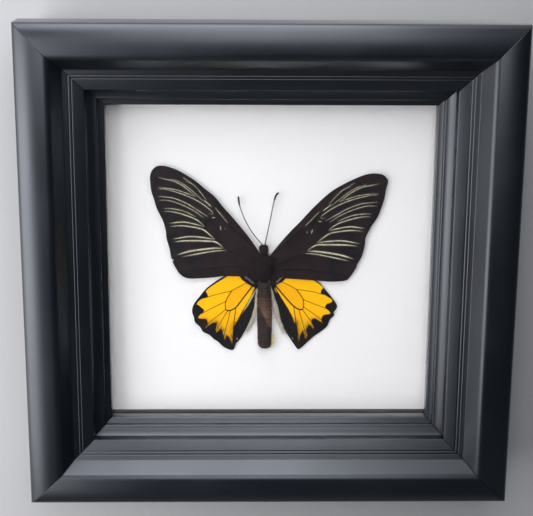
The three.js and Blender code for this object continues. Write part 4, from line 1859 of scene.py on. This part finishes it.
    def tufts(self, draws: np.random.Generator) -> None:
        """Grey tufts at the roots of the hindwings.

        Args:
            draws: The random draws that the wool has begun.
        """
        tufts = {"tuft_left": ((-14.0, -10.1), (-9.2, -14.2)), "tuft_right": ((6.9, -10.4), (4.0, -13.2))}
        for name, (start, end) in tufts.items():
            count = self.tuft_hairs
            t = draws.uniform(0, 1, count)[:, None]
            spot = np.array(start) * (1 - t) + np.array(end) * t + draws.normal(0, 0.25, (count, 2))
            roots = np.column_stack([spot[:, 0] * MM, np.full(count, depth(11.6)), spot[:, 1] * MM])
            run = np.array([end[0] - start[0], 0.0, end[1] - start[1]])
            lean = np.array([0, -0.12, 0]) - run / np.linalg.norm(run)
            ways = unit(draws.normal(0, 0.2, (count, 3)) + lean)
            long = draws.uniform(0.9, 2.2, count)
            Coat(name, 37, 0.05).build(roots, ways, long, np.zeros((count, 3)), self.grey_hair)


# ---- the studio ----------------------------------------------------------------------------------


@dataclass(frozen=True)
class Softbox:
    """A square lamp that faces a point, with places and sizes in metres."""

    name: str
    place: Triple
    size: float
    power: float  # in watts
    colour: Triple = (1.0, 1.0, 1.0)
    aim: Triple = (0.0, 0.0, 0.0)
    spread: float = 180.0  # full angle of its light, in degrees

    def build(self) -> None:
        """Hangs the lamp."""
        lamp = bpy.data.lights.new(self.name, "AREA")
        lamp.spread = math.radians(self.spread)
        lamp.size, lamp.energy, lamp.color = self.size, self.power, self.colour
        piece = bpy.data.objects.new(self.name, lamp)
        piece.location = self.place
        piece.rotation_euler = (Vector(self.aim) - Vector(self.place)).to_track_quat("-Z", "Y").to_euler()
        bpy.context.scene.collection.objects.link(piece)


@dataclass
class Studio:
    """Floor, wall, lamps and camera, with places in metres and turns in radians."""

    camera_place: Triple = (-0.01971, -0.75971, 0.21339)
    pitch: float = -0.268463
    roll: float = -0.007293
    yaw: float = -0.023077
    focal_pixels: float = 1350.0  # focal length, in pixels of a picture image_width pixels wide
    image_width: float = 533.0
    sensor: float = 36.0
    floor_height: float = -2.2
    plane_size: float = 6.0  # side of the floor and of the wall
    wall_gap: float = 0.0005  # between the wall and the bumpers
    world_colour: Colour = (0.6, 0.8, 1.0, 1.0)
    world_strength: float = 0.06
    softboxes: tuple[Softbox, ...] = (
        Softbox("left softbox", (-1.35, -0.3, -0.2), 1.3, 6.0, (1.0, 0.99, 0.985)),
        Softbox("near left softbox", (-0.545, -0.26, -0.12), 0.6, 1.4, (1.0, 0.985, 0.98),
                aim=(-0.015, 0.59, -0.06), spread=96.0),
        Softbox("overhead softbox", (0.0, -0.3, 1.3), 1.2, 5.4, (1.0, 0.99, 0.985)),
        Softbox("near top softbox", (-0.1, -0.19, 0.55), 0.5, 2.2, (0.97, 0.98, 1.0),
                aim=(-0.1, 0.63, -0.02)),
        Softbox("front softbox", (0.0, -1.1, 0.5), 0.7, 3.8, (1.0, 0.985, 0.98)),
        Softbox("back softbox", (0.9, 1.6, 0.9), 1.2, 20.0),
    )

    def build(self, wall: Material, floor: Material) -> None:
        """Sets up the room, the light and the camera.

        Args:
            wall: The wall's finish.
            floor: The floor's finish.
        """
        self.stage("studio_wall", wall, (0.0, CAD_BOX[1][1] + self.wall_gap, 0.0), (math.pi / 2, 0.0, 0.0))
        self.stage("studio_floor", floor, (0.0, 0.0, self.floor_height), (0.0, 0.0, 0.0))
        for softbox in self.softboxes:
            softbox.build()
        world = bpy.data.worlds.new("soft room")
        world.use_nodes = True
        background = world.node_tree.nodes["Background"]
        background.inputs["Color"].default_value = self.world_colour
        background.inputs["Strength"].default_value = self.world_strength
        bpy.context.scene.world = world
        bpy.context.scene.view_settings.view_transform = "Standard"
        self.camera()

    def stage(self, name: str, material: Material, place: Triple, turn: Triple) -> None:
        """Adds a large plain surface that isn't part of the object.

        Args:
            name: Its name.
            material: Its finish.
            place: Its middle, in metres.
            turn: Its turn about the three axes, in radians.
        """
        deselect()
        bpy.ops.mesh.primitive_plane_add(size=self.plane_size, location=place, rotation=turn)
        surface = bpy.context.active_object
        surface.name = name
        surface.data.materials.append(material)

    def camera(self) -> None:
        """Places the camera and makes it the scene's own."""
        lens = bpy.data.cameras.new("camera")
        lens.sensor_width = self.sensor
        lens.lens = self.focal_pixels * self.sensor / self.image_width
        camera = bpy.data.objects.new("camera", lens)
        turn = (
            Matrix.Rotation(self.yaw, 4, "Z") @ Matrix.Rotation(self.pitch, 4, "X")
            @ Matrix.Rotation(self.roll, 4, "Y") @ Matrix.Rotation(math.pi / 2, 4, "X")
        )
        camera.matrix_world = Matrix.Translation(self.camera_place) @ turn
        bpy.context.scene.collection.objects.link(camera)
        bpy.context.scene.camera = camera


def main() -> None:
    """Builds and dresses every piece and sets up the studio."""
    logging.basicConfig(level=logging.INFO, format="%(message)s")
    Groups.build()
    paint = SatinPaint("satin black paint", srgb(4, 8, 14), 0.34, specular=1.0, follows="along").build()
    Moulding().build(paint)
    dress("glass_pane", PictureGlass().build())
    spacer = Finish("matt black strip", srgb(28, 29, 31), 0.85, fine=2500.0, grain=0.03).build()
    for side in Side:
        dress("spacer_" + side.name.lower(), spacer)
    card = Finish("white mount board", srgb(232, 232, 234), 0.92, coarse=30.0, fine=1800.0,
                  contrast=0.012, grain=0.02)
    dress("mount_board", card.build())
    hardboard = Finish("hardboard", srgb(120, 84, 55), 0.8, coarse=60.0, fine=1500.0, contrast=0.22,
                       grain=0.06)
    dress("back_panel", hardboard.build())
    steel = Finish("galvanised steel", srgb(150, 152, 155), 0.38, 1.0, coarse=150.0, contrast=0.15)
    brass = Finish("brass plate", srgb(190, 150, 84), 0.32, 1.0, coarse=120.0, contrast=0.12)
    rubber = Finish("black rubber", srgb(30, 30, 31), 0.75, fine=1600.0, contrast=0.15, grain=0.03)
    Hardware().build(steel.build(), brass.build(), rubber.build())
    dress("glue_dab", Finish("dried glue", srgb(226, 214, 178), 0.35, contrast=0.1, fine=1500.0).build())
    skin = ChitinFinish("dark chitin", srgb(36, 25, 23), 0.6, specular=0.3, coarse=260.0, fine=2600.0,
                        grain=0.06, rubbed=srgb(110, 80, 64))
    eye = ChitinFinish("dark eye", srgb(36, 24, 20), 0.25, coarse=500.0, fine=6000.0, grain=0.03)
    dark_wing = WingFinish("dark wing scales", srgb(40, 32, 31), 0.5, specular=0.18, contrast=0.14,
                           coarse=90.0, fine=2200.0, paints=paint_dark_wing)
    gold_wing = WingFinish("golden wing scales", srgb(252, 200, 4), 0.55, specular=0.15, contrast=0.04,
                           coarse=90.0, fine=2200.0, paints=paint_gold_wing)
    horn = Finish("antenna chitin", srgb(50, 32, 28), 0.4, contrast=0.2, fine=3000.0, grain=0.01)
    flesh = Finish("dried flesh", srgb(222, 206, 130), 0.6, contrast=0.2, coarse=900.0, grain=0.03)
    Insect(
        skin=skin.build(),
        eye=eye.build(),
        dark_hair=HairFinish("dark hair", srgb(31, 23, 26), second=srgb(58, 44, 48)).build(),
        grey_hair=HairFinish("grey hair", srgb(96, 84, 86), second=srgb(178, 170, 172)).build(),
        cream_hair=HairFinish("cream hair", srgb(206, 194, 168), second=srgb(246, 243, 236)).build(),
        dark_wing=dark_wing.build(),
        gold_wing=gold_wing.build(),
        horn=horn.build(),
        flesh=flesh.build(),
    ).build()
    Studio().build(
        WallPaint("pale wall", srgb(190, 191, 194), 0.9).build(),
        Finish("pale floor", srgb(204, 204, 204), 0.85, contrast=0.01, coarse=4.0, fine=60.0).build(),
    )


if __name__ == "__main__":
    main()
